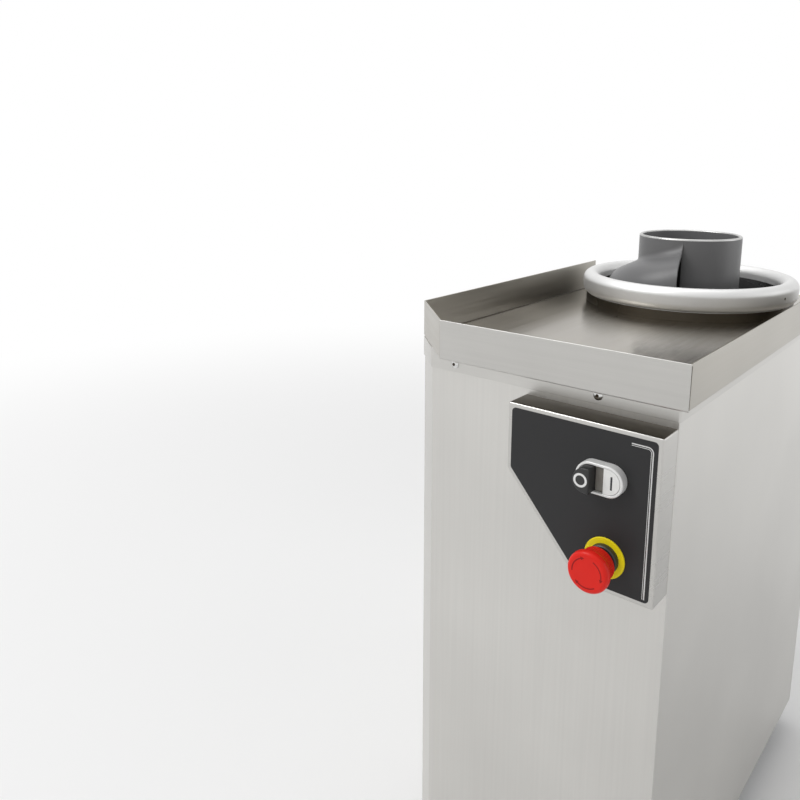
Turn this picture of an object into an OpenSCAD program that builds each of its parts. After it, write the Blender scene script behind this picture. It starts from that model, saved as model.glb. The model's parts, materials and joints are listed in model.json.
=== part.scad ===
// Floor-standing dough rounder: a spiral auger turns in a bowl that is set into a stainless cabinet's tray.
// Millimetres, +Z up. The origin is on the floor, at the middle of the overall width and depth.

/* [Tray] */
// Width of the tray, side to side
tray_w = 338; // [325:1:360]
// Depth of the tray's floor, front to back
tray_d = 628; // [615:1:640]
// Height of the tray's underside above the floor
tray_z = 700; // [680:1:760]
// Height of the tray's flange
flange_h = 42; // [30:1:60]
// Length of the side flanges, from the tray's front
flange_len = 506; // [440:1:560]
// Cut front-left corner, along the front
cut_x = 78; // [70:1:90]
// Cut front-left corner, along the side
cut_y = 72; // [62:1:84]
// Width of the open seam at a folded corner
seam_w = 1.2; // [0.8:0.1:2]

/* [Cabinet] */
// Depth of the cabinet over its skirt
cab_d = 595; // [585:1:640]
// How far the cabinet's front stands behind the tray's front
cab_setback = 35; // [30:1:42]
// How far the tray overhangs the cabinet on the right
overhang = 17.5; // [8:0.5:22]
// Thickness of the folded sheet
sheet = 1.5; // [1:0.1:2]
// Thickness of the deck plate under the tray
deck_t = 2; // [1.5:0.1:4]
// Height of the deck's skirt
skirt_h = 22.5; // [20:0.5:27]
// Height of the feet
foot_h = 40; // [25:1:60]
// Radius of the feet at the floor
foot_r = 22; // [16:1:26]
// Distance of the feet from the cabinet's sides
foot_inset = 45; // [40:1:60]
// Height of the base pan's upturned edge
pan_edge = 30; // [20:1:40]
// Number of air slots in each row of the rear panel
vent_count = 9; // [5:1:11]

/* [Bowl] */
// Distance of the auger's axis behind the tray's front
axis_back = 470; // [462:1:474]
// Inner radius of the bowl
bowl_r = 121; // [117:0.5:123]
// Wall of the bowl
bowl_wall = 5; // [4:0.5:6]
// Width of the rim's bead
bead_w = 22; // [19:0.5:26]
// Height of the rim's bead
bead_h = 31; // [27:0.5:36]
// Height of the rim's crest above the tray's underside
bead_top = 43; // [40:0.5:50]
// Depth of the bowl's floor below the tray's underside
bowl_depth = 75; // [73:0.5:85]
// Thickness of the bowl's floor
bowl_floor = 9; // [8:0.5:12]
// Fillet between the bowl's floor and wall
bowl_fillet = 16; // [8:0.5:18]

/* [Auger] */
// Outer radius of the auger's neck
neck_r = 68; // [62:0.5:72]
// Wall of the neck
neck_wall = 4.5; // [3.5:0.5:6]
// Height of the neck's mouth above the tray's underside
neck_top = 97.5; // [95:0.5:115]
// Gap between the auger and the bowl's floor
floor_gap = 4; // [2:0.5:5]
// Gap between the spiral's lip and the bowl's wall
flare_gap = 5; // [3:0.5:8]
// Height of the spiral's root at its open end, above the tray's underside
flare_root = 93; // [88:0.5:94]
// Slope of the spiral's back, in degrees
flare_slope = 30; // [24:1:34]
// Height of the spiral's lip
lip_h = 12; // [8:0.5:14]
// Thickness of the spiral's wall
flare_t = 5; // [4:0.5:6]
// Radius of the fillet between the neck and the spiral
root_fillet = 12; // [8:0.5:14]
// Radius of the spiral's shoulder above its lip
shoulder_round = 20; // [14:0.5:24]
// Fall of the spiral in one turn
spiral_pitch = 96; // [88:0.5:98]
// Heading of the spiral's open end, in degrees from +X
seam_angle = -77; // [-90:1:-60]

/* [Control box] */
// Width of the control box
box_w = 157; // [150:1:165]
// Height of the control box at its right edge
box_h = 163; // [155:1:180]
// Height of the control box at its left edge
box_left_h = 68.5; // [55:0.5:80]
// Length of the control box's bottom edge
box_bottom_w = 75; // [70:1:90]
// How far the box's face stands behind the tray's front
box_setback = 4.5; // [2:0.5:8]
// How far the box's top stands below the tray's underside
box_drop = 29; // [28:0.5:40]
// How far the box's right side stands inside the cabinet's
box_inset = 2; // [0:0.5:6]
// Thickness of the box's sheet
box_t = 1.2; // [1:0.1:2]
// Margin of the black label on the box's face
label_inset = 4.5; // [3:0.5:6]
// Thickness of the label
label_t = 0.5; // [0.3:0.1:0.8]
// Distance of the push button's centre from the box's right side
switch_right = 54; // [50:0.5:58]
// Distance of the push button's centre below the box's top
switch_drop = 49.5; // [44:0.5:56]
// Distance of the emergency stop's centre from the box's right side
estop_right = 48; // [44:0.5:52]
// Distance of the emergency stop's centre above the box's bottom
estop_rise = 35; // [32:0.5:40]

/* [Push button] */
// Length of the oval bezel
bezel_l = 47; // [45:0.5:52]
// Height of the oval bezel
bezel_h = 30; // [28:0.5:33]
// How far the bezel stands out
bezel_out = 9.5; // [9:0.5:12]
// Wall of the bezel
bezel_wall = 2.6; // [2:0.1:3.2]
// Width of the lens between the two buttons
lens_w = 8.5; // [7:0.5:10]
// How far the stop button stands out of the bezel
stop_out = 11; // [8:0.5:14]
// Travel of the two buttons
button_travel = 3; // [2:0.5:3.5]

/* [Emergency stop] */
// How far the head's face stands out of the box's face
estop_reach = 37; // [36:0.5:42]
// Radius of the mushroom head
head_r = 20; // [18:0.5:22]
// Radius of the head's rear end
head_rear_r = 16.5; // [14:0.5:17.5]
// Length of the mushroom head
head_l = 23; // [20:0.5:24]
// Thickness of the head's rim
head_rim = 8; // [7:0.5:9]
// Travel of the emergency stop
estop_travel = 5; // [3:0.5:6]
// Radius of the yellow disc
disc_r = 20; // [19:0.5:24]
// Thickness of the yellow disc
disc_t = 1.5; // [1:0.1:2]
// Radius of the plunger
stem_r = 8; // [6:0.5:9]

/* [Drive] */
// Radius of the shaft in its bearings
shaft_r = 12.5; // [11:0.5:14]
// Radius of the shaft's two seats, in the auger's boss and in the pulley
seat_r = 11; // [9:0.5:11.5]
// Outer radius of the bearings
bearing_r = 26; // [24:0.5:28]
// Width of the bearings
bearing_w = 15; // [12:0.5:16]
// Length of the bearing housing
housing_l = 110; // [90:1:120]
// Radius of the bearing housing's barrel
housing_r = 40; // [36:1:42]
// Outer radius of the driven pulley
pulley_r = 95; // [85:1:105]
// Outer radius of the motor's pulley
pinion_r = 32; // [28:1:36]
// Width of the two pulleys' rims
rim_w = 20; // [18:0.5:24]
// Distance between the motor's axis and the auger's
drive_c = 190; // [180:1:210]
// Radius of the motor's body without its fins
motor_r = 56; // [50:1:60]
// Length of the motor's body
motor_l = 170; // [150:1:200]
// Radius of the motor's shaft
rotor_r = 9.5; // [8:0.5:11]
// Number of cooling fins round the motor
fin_count = 24; // [16:1:30]

/* [Hidden] */
$fn = 96;
// Clearances: running fit of a shaft, sliding fit of a button, free hole of a screw, seat of a fixed piece
run = 0.04;
slide = 0.3;
free = 0.25;
seat = 0.05;
eps = 0.5;

// Overall depth runs from the emergency stop's face to the end of the cable gland
gland_out = 20;
front_reach = estop_reach - box_setback;
back_reach = cab_setback + cab_d - sheet + gland_out;
y_tray = (front_reach - back_reach) / 2;

// Cabinet planes
x_left = -tray_w / 2;
x_right = tray_w / 2 - overhang;
y_front = y_tray + cab_setback;
y_back = y_front + cab_d;
panel_y = y_front + sheet;
panel_top = tray_z - deck_t;
in_left = x_left + 2 * sheet;
in_right = x_right - 2 * sheet;
in_back = y_back - 2 * sheet;
pan_t = 2;
pan_top = foot_h + pan_t;
foot_stud_r = 4;
foot_stud_in = 12;
foot_stud_out = 11;
foot_nut_h = 6.5;
vent_w = 5;
vent_h = 60;
vent_step = 16;
vent_z = [pan_top + 2.5 * vent_h, pan_top + 2.5 * vent_h + 100];

// Auger axis
axis_x = (x_left + x_right) / 2;
axis_y = y_tray + axis_back;

// Bowl
bowl_out = bowl_r + bowl_wall;
bowl_bolt_r = 3;
bowl_bolt_head = 5;
bowl_bolt_circle = bowl_out + bowl_bolt_head + eps;
shoulder_r = bowl_bolt_circle + bowl_bolt_r + 2.5;
bowl_top_z = tray_z - bowl_depth;
bowl_under_z = bowl_top_z - bowl_floor;
bowl_bolts_n = 6;
bowl_bolt_in = 10;
bowl_bolt_h = 4;
rim_hole_angle = -14;
rim_hole_r = 1.6;
rim_hole_in = 4;
seal_r = shaft_r + 7.5;

// Auger
auger_z = bowl_top_z + floor_gap;
auger_floor = 8;
flare_r = bowl_r - flare_gap;
spiral_turn = 360;
spiral_step = 8;
arc_points = 3;
port_angle = 42;
port_w = 72;
port_h = 41;
port_sill = 2;
boss_r = 25;
boss_flange_r = 37;
boss_flange_t = 5;
boss_top = auger_z + auger_floor + boss_flange_t + 8;
boss_screw_circle = (boss_r + boss_flange_r) / 2 + 0.5;
boss_screw_r = 2.5;
boss_screw_in = 5;
end_screw_r = 5;
end_screw_in = 19;
end_screw_h = 6;
washer_r = 16;
washer_t = 3;

// Drive line, downwards from the bowl's floor
housing_z = bowl_under_z - housing_l;
hub_top = housing_z - 6;
pulley_hub_l = 30;
hub_z = hub_top - pulley_hub_l;
belt_z = hub_z + pulley_hub_l / 2;
pulley_hub_r = 24;
housing_flange_r = 62;
housing_flange_t = 10;
housing_bolt_circle = (housing_r + housing_flange_r) / 2 + 2;
housing_bolt_r = 4;
housing_bolt_h = 5;
housing_bolt_in = bowl_floor - 3;
housing_rib_h = 45;
housing_rib_t = 6;
motor_y = axis_y - drive_c;
bracket_t = 4;
bracket_top = hub_z - 16;
bracket_z = bracket_top - bracket_t;
bracket_edge = 40;
bracket_half = motor_r + 30;
motor_z = bracket_z - motor_l;
motor_flange_r = motor_r + 10;
motor_flange_t = 10;
motor_bolt_circle = (motor_r + motor_flange_r) / 2 + 0.5;
motor_bolt_r = 2.5;
motor_bolt_h = 3.5;
motor_bolt_in = motor_flange_t - 3;
fin_h = 6;
fin_t = 2.5;
fin_back = 8;
fin_l = motor_l - fin_back - 28;
lead_box = 72;
lead_box_d = 34;
lead_lid = 4;
lead_pad = 80;
lead_x = motor_r + fin_h + 2;
lead_z = motor_z + 90;
shield_l = 12;
fan_cover_l = 52;
fan_cover_t = 1.5;
fan_z = motor_z - 34;
fan_l = 26;
fan_blades = 8;
fan_slots = 12;
key_w = 6;
key_h = 6;
key_l = 18;
key_sunk = 3.5;
pulley_web = 8;
pulley_hole_r = 15;

// Ribbed belt and the grooves under it
belt_w = 14;
belt_t = 4.5;
belt_gap = 0.3;
belt_join = 2;
groove_count = 5;
groove_step = 2.6;
groove_d = 2;
flange_out = 3;
rim_t = 10;

// Control box planes
face_y = y_tray + box_setback;
label_y = face_y - label_t;
box_right = x_right - box_inset;
box_left = box_right - box_w;
box_top = tray_z - box_drop;
box_bottom = box_top - box_h;
switch_x = box_right - switch_right;
switch_z = box_top - switch_drop;
estop_x = box_right - estop_right;
estop_z = box_bottom + estop_rise;
label_round = 4;
barrel_r = 11;
barrel_in = 14;
contact_w = 30;
contact_l = 40;
contact_d = 36;
contact_notch = 6;
cutout_half = contact_l / 2 + 2;
bezel_y = label_y - bezel_out;
bezel_floor = 3;
button_t = bezel_out - bezel_floor - button_travel - slide;
pocket_l = bezel_l - 2 * bezel_wall;
pocket_h = bezel_h - 2 * bezel_wall;
collar_r = 14.5;
head_round = 4;
head_taper = 4;
head_y = face_y - estop_reach;
head_back = head_y + head_l;
collar_y = head_back + estop_travel + 1;
stem_front = head_y + 8;
stem_back = face_y + barrel_in + 6;

// Screws in the deck's skirt
deck_screw_x = [x_left + 73, x_left + 241];
deck_screw_z = tray_z - 13.5;
deck_screw_r = 2.5;
deck_screw_l = 11;
rear_screw_r = 2;
rear_screw_l = 10;
rear_flange = 18;
rear_screw_x = [in_left + rear_flange / 2, in_right - rear_flange / 2];
rear_screw_z = [for (i = [0:2]) pan_top + pan_edge + 40 + i * (panel_top - pan_top - pan_edge - 110) / 2];

gland_x = in_right - 60;
gland_z = pan_top + 80;
gland_r = 10;
gland_nut_h = 6;
gland_in = 14;

// Electrical gear: mounting rail, contactor and terminals along it
rail_y = axis_y - 300;
rail_z = 300;
rail_l = 170;
rail_h = 35;
rail_d = 8;
rail_t = 1.5;
rail_lip = 5;
gear_x = in_left + rail_d;
contactor_w = 45;
contactor_d = 52;
contactor_h = 74;
contactor_nose = 22;
contactor_key = 16;
terminal_n = 8;
terminal_step = 8;
terminal_gap = 0.4;
terminal_d = 36;
terminal_h = 44;
terminal_notch = 10;

// Outlines

// Inward unit normal of edge i of a counter-clockwise outline
function normal(p, i) =
    let (e = p[(i + 1) % len(p)] - p[i % len(p)])
    [-e.y, e.x] / norm(e);

// Convex outline moved inwards by d, with sharp corners
function inset(p, d) =
    [for (i = [0:len(p) - 1])
        let (a = normal(p, i + len(p) - 1), b = normal(p, i))
        p[i] + d * (a + b) / (1 + a * b)];

// Plan of a sheet-metal body with its front-left corner cut, from the front-right corner round
function plan(left, right, front, back, corner_x, corner_y) =
    [[right, front], [right, back], [left, back], [left, corner_y], [corner_x, front]];

function cabinet_plan() =
    plan(x_left, x_right, y_front, y_back, x_left + cut_x * (1 - cab_setback / cut_y), y_tray + cut_y);

function tray_plan() =
    plan(x_left, tray_w / 2, y_tray, y_tray + tray_d, x_left + cut_x, y_tray + cut_y);

// Face of the control box in X and Z, from its lower right corner round
function box_face() =
    [[box_right, box_bottom], [box_right, box_top], [box_left, box_top],
        [box_left, box_top - box_left_h], [box_right - box_bottom_w, box_bottom]];

// Centres of the push button and the emergency stop on the box's face, in X and Z
function switch_places() =
    [[switch_x, switch_z], [estop_x, estop_z]];

// Band between two insets of an outline, along the corners listed in ids, with mitred ends
module band(p, near, far, ids) {
    a = inset(p, near);
    b = inset(p, far);
    polygon(concat([for (i = ids) a[i]], [for (i = [len(ids) - 1:-1:0]) b[ids[i]]]));
}

// Convex outline with its corners rounded to r
module rounded(p, r) {
    c = inset(p, r);
    n = len(p);
    polygon([for (i = [0:n - 1]) for (k = [n - 1, n]) c[i] - r * normal(p, i + k)]);
    for (q = c) {
        translate(q) circle(r, $fn = 48);
    }
}

// Oval with round ends, along X
module oval(l, h) {
    square([l - h, h], center = true);
    for (s = [-1, 1]) {
        translate([s * (l - h) / 2, 0]) circle(h / 2, $fn = 64);
    }
}

// Shape placement

module slab(z0, z1) {
    translate([0, 0, z0]) linear_extrude(z1 - z0) children();
}

// Extrudes an outline drawn in X and Z from the plane y0 back to y1
module wall(y0, y1) {
    translate([0, y1, 0]) rotate([90, 0, 0]) linear_extrude(y1 - y0) children();
}

module at_axis() {
    translate([axis_x, axis_y, 0]) children();
}

module at_motor() {
    translate([axis_x, motor_y, 0]) children();
}

module round_bar(r, z0, z1) {
    translate([0, 0, z0]) cylinder(r = r, h = z1 - z0);
}

module ring(ro, ri, z0, z1) {
    difference() {
        round_bar(ro, z0, z1);
        round_bar(ri, z0 - eps, z1 + eps);
    }
}

// Bar along Y between two planes
module bar_y(x, z, r, y0, y1) {
    translate([x, y1, z]) rotate([90, 0, 0]) cylinder(r = r, h = y1 - y0);
}

module on_circle(r, n, start = 0) {
    for (i = [0:n - 1]) {
        rotate(start + i * 360 / n) translate([r, 0, 0]) children();
    }
}

module at_feet() {
    for (x = [x_left + foot_inset, x_right - foot_inset], y = [y_front + foot_inset, y_back - foot_inset]) {
        translate([x, y, 0]) children();
    }
}

// Domed screw with its head's seat at the origin, head towards -Y
module button_screw(r, length) {
    rotate([90, 0, 0]) {
        translate([0, 0, -length]) cylinder(r = r, h = length, $fn = 32);
        rotate_extrude($fn = 48) intersection() {
            translate([0, -r * 1.6]) circle(r * 2.7);
            square([r * 1.9, r * 1.1]);
        }
    }
}

// Hexagon-head screw with its head's seat at the origin, shank up
module hex_screw(r, length, head_h) {
    cylinder(r = r, h = length, $fn = 32);
    translate([0, 0, -head_h]) cylinder(r = r * 1.75, h = head_h, $fn = 6);
}

// Stand and cabinet

module feet() {
    color("dimgray") at_feet() difference() {
        cylinder(r1 = foot_r, r2 = foot_r * 0.8, h = foot_h);
        round_bar(foot_stud_r + seat, foot_h - foot_stud_in, foot_h + eps);
    }
}

module foot_studs() {
    color("silver") at_feet() {
        round_bar(foot_stud_r, foot_h - foot_stud_in, pan_top + foot_stud_out);
        translate([0, 0, pan_top]) cylinder(r = foot_stud_r * 1.85, h = foot_nut_h, $fn = 6);
    }
}

module base_pan() {
    p = cabinet_plan();
    color("silver") difference() {
        union() {
            slab(foot_h, pan_top) polygon(inset(p, 2 * sheet));
            slab(foot_h, pan_top + pan_edge) difference() {
                polygon(inset(p, 2 * sheet));
                polygon(inset(p, 3 * sheet));
            }
        }
        at_feet() round_bar(foot_stud_r + free, foot_h - eps, pan_top + eps);
    }
}

module front_panel() {
    cut_left = min(switch_x, estop_x) - cutout_half;
    cut_right = max(switch_x, estop_x) + cutout_half;
    color("lightgray") difference() {
        slab(foot_h, panel_top) band(cabinet_plan(), sheet, 2 * sheet, [3, 4, 0]);
        wall(panel_y - eps, panel_y + sheet + eps)
            translate([cut_left, estop_z - cutout_half])
            square([cut_right - cut_left, switch_z - estop_z + 2 * cutout_half - 4]);
        for (x = deck_screw_x) {
            bar_y(x, deck_screw_z, deck_screw_r + free, panel_y - eps, panel_y + sheet + eps);
        }
    }
}

// Flange folded from a side panel's rear edge, which the rear panel is screwed to
module rear_edge(x) {
    z = pan_top + pan_edge + 2;
    difference() {
        translate([x, in_back - sheet, z]) cube([rear_flange + sheet, sheet, panel_top - skirt_h - 2 - z]);
        for (sx = rear_screw_x, z = rear_screw_z) {
            bar_y(sx, z, rear_screw_r + free, in_back - sheet - eps, in_back + eps);
        }
    }
}

module left_panel() {
    color("lightgray") {
        slab(foot_h, panel_top) band(cabinet_plan(), sheet, 2 * sheet, [2, 3]);
        rear_edge(in_left - sheet);
    }
}

module right_panel() {
    color("lightgray") {
        slab(foot_h, panel_top) band(cabinet_plan(), sheet, 2 * sheet, [0, 1]);
        rear_edge(in_right - rear_flange);
    }
}

module rear_panel() {
    vent_mid = (in_left + in_right) / 2;
    color("lightgray") difference() {
        slab(foot_h, panel_top) band(cabinet_plan(), sheet, 2 * sheet, [1, 2]);
        for (z = vent_z, i = [0:vent_count - 1]) {
            wall(in_back - eps, y_back + eps)
                translate([vent_mid + (i - (vent_count - 1) / 2) * vent_step, z])
                rotate(90) oval(vent_h, vent_w);
        }
        for (x = rear_screw_x, z = rear_screw_z) {
            bar_y(x, z, rear_screw_r + free, in_back - eps, y_back + eps);
        }
        for (x = deck_screw_x) {
            bar_y(x, deck_screw_z, deck_screw_r + free, in_back - eps, y_back + eps);
        }
        bar_y(gland_x, gland_z, gland_r + free, in_back - eps, y_back + eps);
    }
}

module rear_screws() {
    color("gainsboro") for (x = rear_screw_x, z = rear_screw_z) {
        translate([x, y_back - sheet, z]) rotate(180) button_screw(rear_screw_r, rear_screw_l);
    }
}

module top_deck() {
    p = cabinet_plan();
    color("silver") difference() {
        union() {
            slab(panel_top, tray_z) polygon(p);
            slab(tray_z - skirt_h, tray_z) difference() {
                polygon(p);
                polygon(inset(p, sheet));
            }
        }
        at_axis() round_bar(bowl_out + eps, panel_top - eps, tray_z + eps);
        at_axis() on_circle(bowl_bolt_circle, bowl_bolts_n, 30)
            round_bar(bowl_bolt_r + free, panel_top - eps, tray_z + eps);
        for (x = deck_screw_x, y = [y_front, y_back - sheet]) {
            bar_y(x, deck_screw_z, deck_screw_r + free, y - eps, y + sheet + eps);
        }
        translate([x_right - sheet - eps, y_front + sheet, tray_z - skirt_h - eps])
            cube([sheet + 2 * eps, seam_w, skirt_h - deck_t]);
    }
}

module deck_screws() {
    color("gainsboro") for (x = deck_screw_x) {
        translate([x, y_front, deck_screw_z]) button_screw(deck_screw_r, deck_screw_l);
        translate([x, y_back, deck_screw_z]) rotate(180) button_screw(deck_screw_r, deck_screw_l);
    }
}

module tray() {
    p = tray_plan();
    color("lightgray") difference() {
        union() {
            slab(tray_z, tray_z + sheet) polygon(p);
            slab(tray_z, tray_z + flange_h) intersection() {
                band(p, 0, sheet, [2, 3, 4, 0, 1]);
                translate([-tray_w, y_tray - eps]) square([2 * tray_w, flange_len + eps]);
            }
        }
        at_axis() round_bar(shoulder_r + 1, tray_z - eps, tray_z + sheet + eps);
        translate([tray_w / 2 - sheet - eps, y_tray + sheet, tray_z - eps])
            cube([sheet + 2 * eps, seam_w, flange_h - 8 + eps]);
    }
}

// Bowl

module bowl_section() {
    bead_x = bowl_r + bead_w / 2;
    translate([bead_x, bead_top - bead_h / 2]) rotate(90) oval(bead_h, bead_w);
    translate([bowl_r, -bowl_depth - bowl_floor])
        square([bowl_wall, bowl_depth + bowl_floor + bead_top - bead_w / 2]);
    translate([bowl_r, 0]) square([shoulder_r - bowl_r, bead_top - bead_h + bead_w / 2]);
    translate([seal_r, -bowl_depth - bowl_floor]) square([bowl_r - seal_r + eps, bowl_floor]);
    difference() {
        translate([bowl_r - bowl_fillet, -bowl_depth - eps]) square(bowl_fillet + eps);
        translate([bowl_r - bowl_fillet, bowl_fillet - bowl_depth]) circle(bowl_fillet);
    }
}

module bowl() {
    color("gainsboro") at_axis() difference() {
        translate([0, 0, tray_z]) rotate_extrude() bowl_section();
        on_circle(bowl_bolt_circle, bowl_bolts_n, 30)
            round_bar(bowl_bolt_r + seat, tray_z - eps, tray_z + bowl_bolt_in + 1);
        on_circle(housing_bolt_circle, 4, 45)
            round_bar(housing_bolt_r + seat, bowl_under_z - eps, bowl_under_z + housing_bolt_in + 0.5);
        rotate(rim_hole_angle)
            translate([bowl_r + bead_w - rim_hole_in, 0, tray_z + bead_top - bead_h * 0.55])
            rotate([0, 90, 0]) cylinder(r = rim_hole_r, h = 2 * rim_hole_in, $fn = 24);
    }
}

module bowl_bolts() {
    color("silver") at_axis() on_circle(bowl_bolt_circle, bowl_bolts_n, 30)
        translate([0, 0, panel_top]) hex_screw(bowl_bolt_r, deck_t + bowl_bolt_in, bowl_bolt_h);
}

// Bearing unit under the bowl

module bearing_housing() {
    flange_z = bowl_under_z - housing_flange_t;
    color("slategray") at_axis() difference() {
        union() {
            round_bar(housing_r, housing_z, bowl_under_z);
            round_bar(housing_flange_r, flange_z, bowl_under_z);
            for (a = [0:90:270]) {
                rotate(a) translate([housing_r - 3, -housing_rib_t / 2, flange_z - housing_rib_h])
                    rotate([90, 0, 0]) mirror([0, 0, 1]) linear_extrude(housing_rib_t)
                    polygon([[0, 0], [housing_flange_r - housing_r, housing_rib_h], [0, housing_rib_h]]);
            }
        }
        round_bar(bearing_r - 5, housing_z - eps, bowl_under_z + eps);
        round_bar(bearing_r + seat, housing_z - eps, housing_z + bearing_w);
        round_bar(bearing_r + seat, bowl_under_z - bearing_w, bowl_under_z + eps);
        on_circle(housing_bolt_circle, 4, 45)
            round_bar(housing_bolt_r + free, flange_z - eps, bowl_under_z + eps);
    }
}

module housing_bolts() {
    color("silver") at_axis() on_circle(housing_bolt_circle, 4, 45)
        translate([0, 0, bowl_under_z - housing_flange_t])
        hex_screw(housing_bolt_r, housing_flange_t + housing_bolt_in, housing_bolt_h);
}

// Ball bearing with its two rings and the shields between them drawn as one closed ring
module bearing(z) {
    ring_t = 3.4;
    color("lightsteelblue") at_axis() difference() {
        ring(bearing_r, shaft_r + run, z, z + bearing_w);
        for (s = [z - eps, z + bearing_w - 1]) {
            ring(bearing_r - ring_t, shaft_r + ring_t, s, s + 1 + eps);
        }
    }
}

module upper_bearing() {
    bearing(bowl_under_z - bearing_w);
}

module lower_bearing() {
    bearing(housing_z);
}

module shaft_seal() {
    color("black") at_axis() ring(seal_r - seat, shaft_r + run, bowl_under_z, bowl_top_z - 1);
}

// Motor unit

module motor_bracket() {
    color("silver") difference() {
        union() {
            translate([in_left, motor_y - bracket_half, bracket_z])
                cube([in_right - in_left, 2 * bracket_half, bracket_t]);
            for (x = [in_left, in_right - bracket_t]) {
                translate([x, motor_y - bracket_half, bracket_top - bracket_edge])
                    cube([bracket_t, 2 * bracket_half, bracket_edge]);
            }
        }
        at_motor() round_bar(rotor_r + 12, bracket_z - eps, bracket_top + eps);
        at_motor() on_circle(motor_bolt_circle, 4, 45)
            round_bar(motor_bolt_r + free, bracket_z - eps, bracket_top + eps);
    }
}

module motor_body() {
    color("cadetblue") at_motor() difference() {
        union() {
            round_bar(motor_r, motor_z, bracket_z);
            round_bar(motor_flange_r, bracket_z - motor_flange_t, bracket_z);
            round_bar(motor_r - 2, motor_z - shield_l, motor_z);
            for (i = [0:fin_count - 1]) {
                rotate((i + 0.5) * 360 / fin_count)
                    translate([motor_r - 3, -fin_t / 2, motor_z + fin_back]) cube([fin_h + 3, fin_t, fin_l]);
            }
            translate([0, -lead_pad / 2, lead_z - lead_pad / 2]) cube([lead_x, lead_pad, lead_pad]);
        }
        round_bar(rotor_r + run, motor_z - shield_l - eps, bracket_z + eps);
        on_circle(motor_bolt_circle, 4, 45)
            round_bar(motor_bolt_r + seat, bracket_z - motor_bolt_in - 1, bracket_z + eps);
    }
}

module motor_bolts() {
    color("silver") at_motor() on_circle(motor_bolt_circle, 4, 45)
        translate([0, 0, bracket_top]) mirror([0, 0, 1])
        hex_screw(motor_bolt_r, bracket_t + motor_bolt_in, motor_bolt_h);
}

// Square of side a, as an outline about its centre
function square_plan(a) =
    [[-a, -a], [a, -a], [a, a], [-a, a]] / 2;

module motor_terminal_box() {
    color("dimgray") at_motor() translate([lead_x, 0, lead_z]) rotate([90, 0, 90]) {
        linear_extrude(lead_box_d) rounded(square_plan(lead_box), lead_lid + 1);
        slab(lead_box_d, lead_box_d + lead_lid) rounded(square_plan(lead_box + 6), lead_lid + 2);
    }
}

module fan_cover() {
    r = motor_r + fan_cover_t;
    z = motor_z - fan_cover_l;
    color("dimgray") at_motor() difference() {
        round_bar(r, z, motor_z - seat);
        round_bar(motor_r - 2 + seat, z + 2, motor_z + eps);
        for (i = [0:fan_slots - 1]) {
            rotate(i * 360 / fan_slots) translate([rotor_r * 2, -2.5, z - eps]) cube([motor_r * 0.5, 5, 3]);
        }
    }
}

// Part of the belt that lies on a pulley
module belt_arc(r, start, turn) {
    rotate(start) rotate_extrude(angle = turn)
        translate([r + belt_gap, -belt_w / 2]) square([belt_t, belt_w]);
}

module drive_belt() {
    lean = asin((pulley_r - pinion_r) / drive_c);
    run_l = drive_c * cos(lean);
    color("black") translate([axis_x, axis_y, belt_z]) {
        belt_arc(pulley_r, -lean, 180 + 2 * lean);
        translate([0, -drive_c, 0]) belt_arc(pinion_r, 180 + lean, 180 - 2 * lean);
        for (side = [0, 1]) {
            mirror([side, 0, 0]) rotate(-lean)
                translate([pulley_r + belt_gap, -run_l - belt_join, -belt_w / 2])
                cube([belt_t, run_l + 2 * belt_join, belt_w]);
        }
    }
}

// Rim of a multi-groove pulley with a low flange at each side, as a half section
module pulley_rim(r, inner) {
    difference() {
        translate([inner, -rim_w / 2]) square([r + flange_out - inner, rim_w]);
        translate([r, -belt_w / 2 - eps]) square([2 * flange_out, belt_w + 2 * eps]);
        for (i = [0:groove_count - 1]) {
            translate([r, (i - (groove_count - 1) / 2) * groove_step])
                polygon([[eps, -groove_step / 3], [eps, groove_step / 3], [-groove_d, 0]]);
        }
    }
}

// Control box

module control_box() {
    color("silver") difference() {
        wall(face_y, panel_y) polygon(box_face());
        wall(face_y + box_t, panel_y + eps) polygon(inset(box_face(), box_t));
        for (q = switch_places()) {
            bar_y(q.x, q.y, barrel_r + free, face_y - eps, face_y + box_t + eps);
        }
    }
}

module control_label() {
    color("black") difference() {
        wall(label_y, face_y) rounded(inset(box_face(), label_inset), label_round);
        for (q = switch_places()) {
            bar_y(q.x, q.y, barrel_r + free, label_y - eps, face_y + eps);
        }
    }
}

module at_switch() {
    translate([switch_x, 0, switch_z]) children();
}

module switch_bezel() {
    color("whitesmoke") {
        at_switch() difference() {
            wall(bezel_y, label_y) oval(bezel_l, bezel_h);
            wall(bezel_y - eps, label_y - bezel_floor) oval(pocket_l, pocket_h);
        }
        bar_y(switch_x, switch_z, barrel_r, label_y - eps, face_y + barrel_in);
    }
}

module switch_lens() {
    lens_h = pocket_h - 2 * slide;
    color("darkgray") at_switch() wall(bezel_y + button_travel, label_y - bezel_floor)
        square([lens_w, lens_h], center = true);
}

// Button that fills one end of the bezel's pocket; side is -1 for the left end and 1 for the right
module end_button(side, front) {
    inner = lens_w / 2 + slide;
    at_switch() wall(front, bezel_y + button_t) intersection() {
        oval(pocket_l - 2 * slide, pocket_h - 2 * slide);
        translate([side > 0 ? inner : -inner - bezel_l, -bezel_h]) square([bezel_l, 2 * bezel_h]);
    }
}

module stop_button() {
    color("black") end_button(-1, bezel_y - stop_out);
}

module start_button() {
    color("white") end_button(1, bezel_y);
}

// Block of contacts behind a switch, with a bore for its plunger and a notch for each pair of wires
module contact_block(x, z, l, h) {
    y = face_y + barrel_in;
    n = contact_notch;
    difference() {
        translate([x - l / 2, y, z - h / 2]) cube([l, contact_d, h]);
        bar_y(x, z, stem_r + slide, y - eps, y + contact_d / 2);
        for (s = [-1, 1]) {
            translate([x + s * l / 4 - n / 2, y + contact_d - n, z - h / 2 - eps]) cube([n, n + eps, n]);
        }
    }
}

module switch_contacts() {
    color("dimgray") contact_block(switch_x, switch_z, contact_l, contact_w);
}

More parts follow.
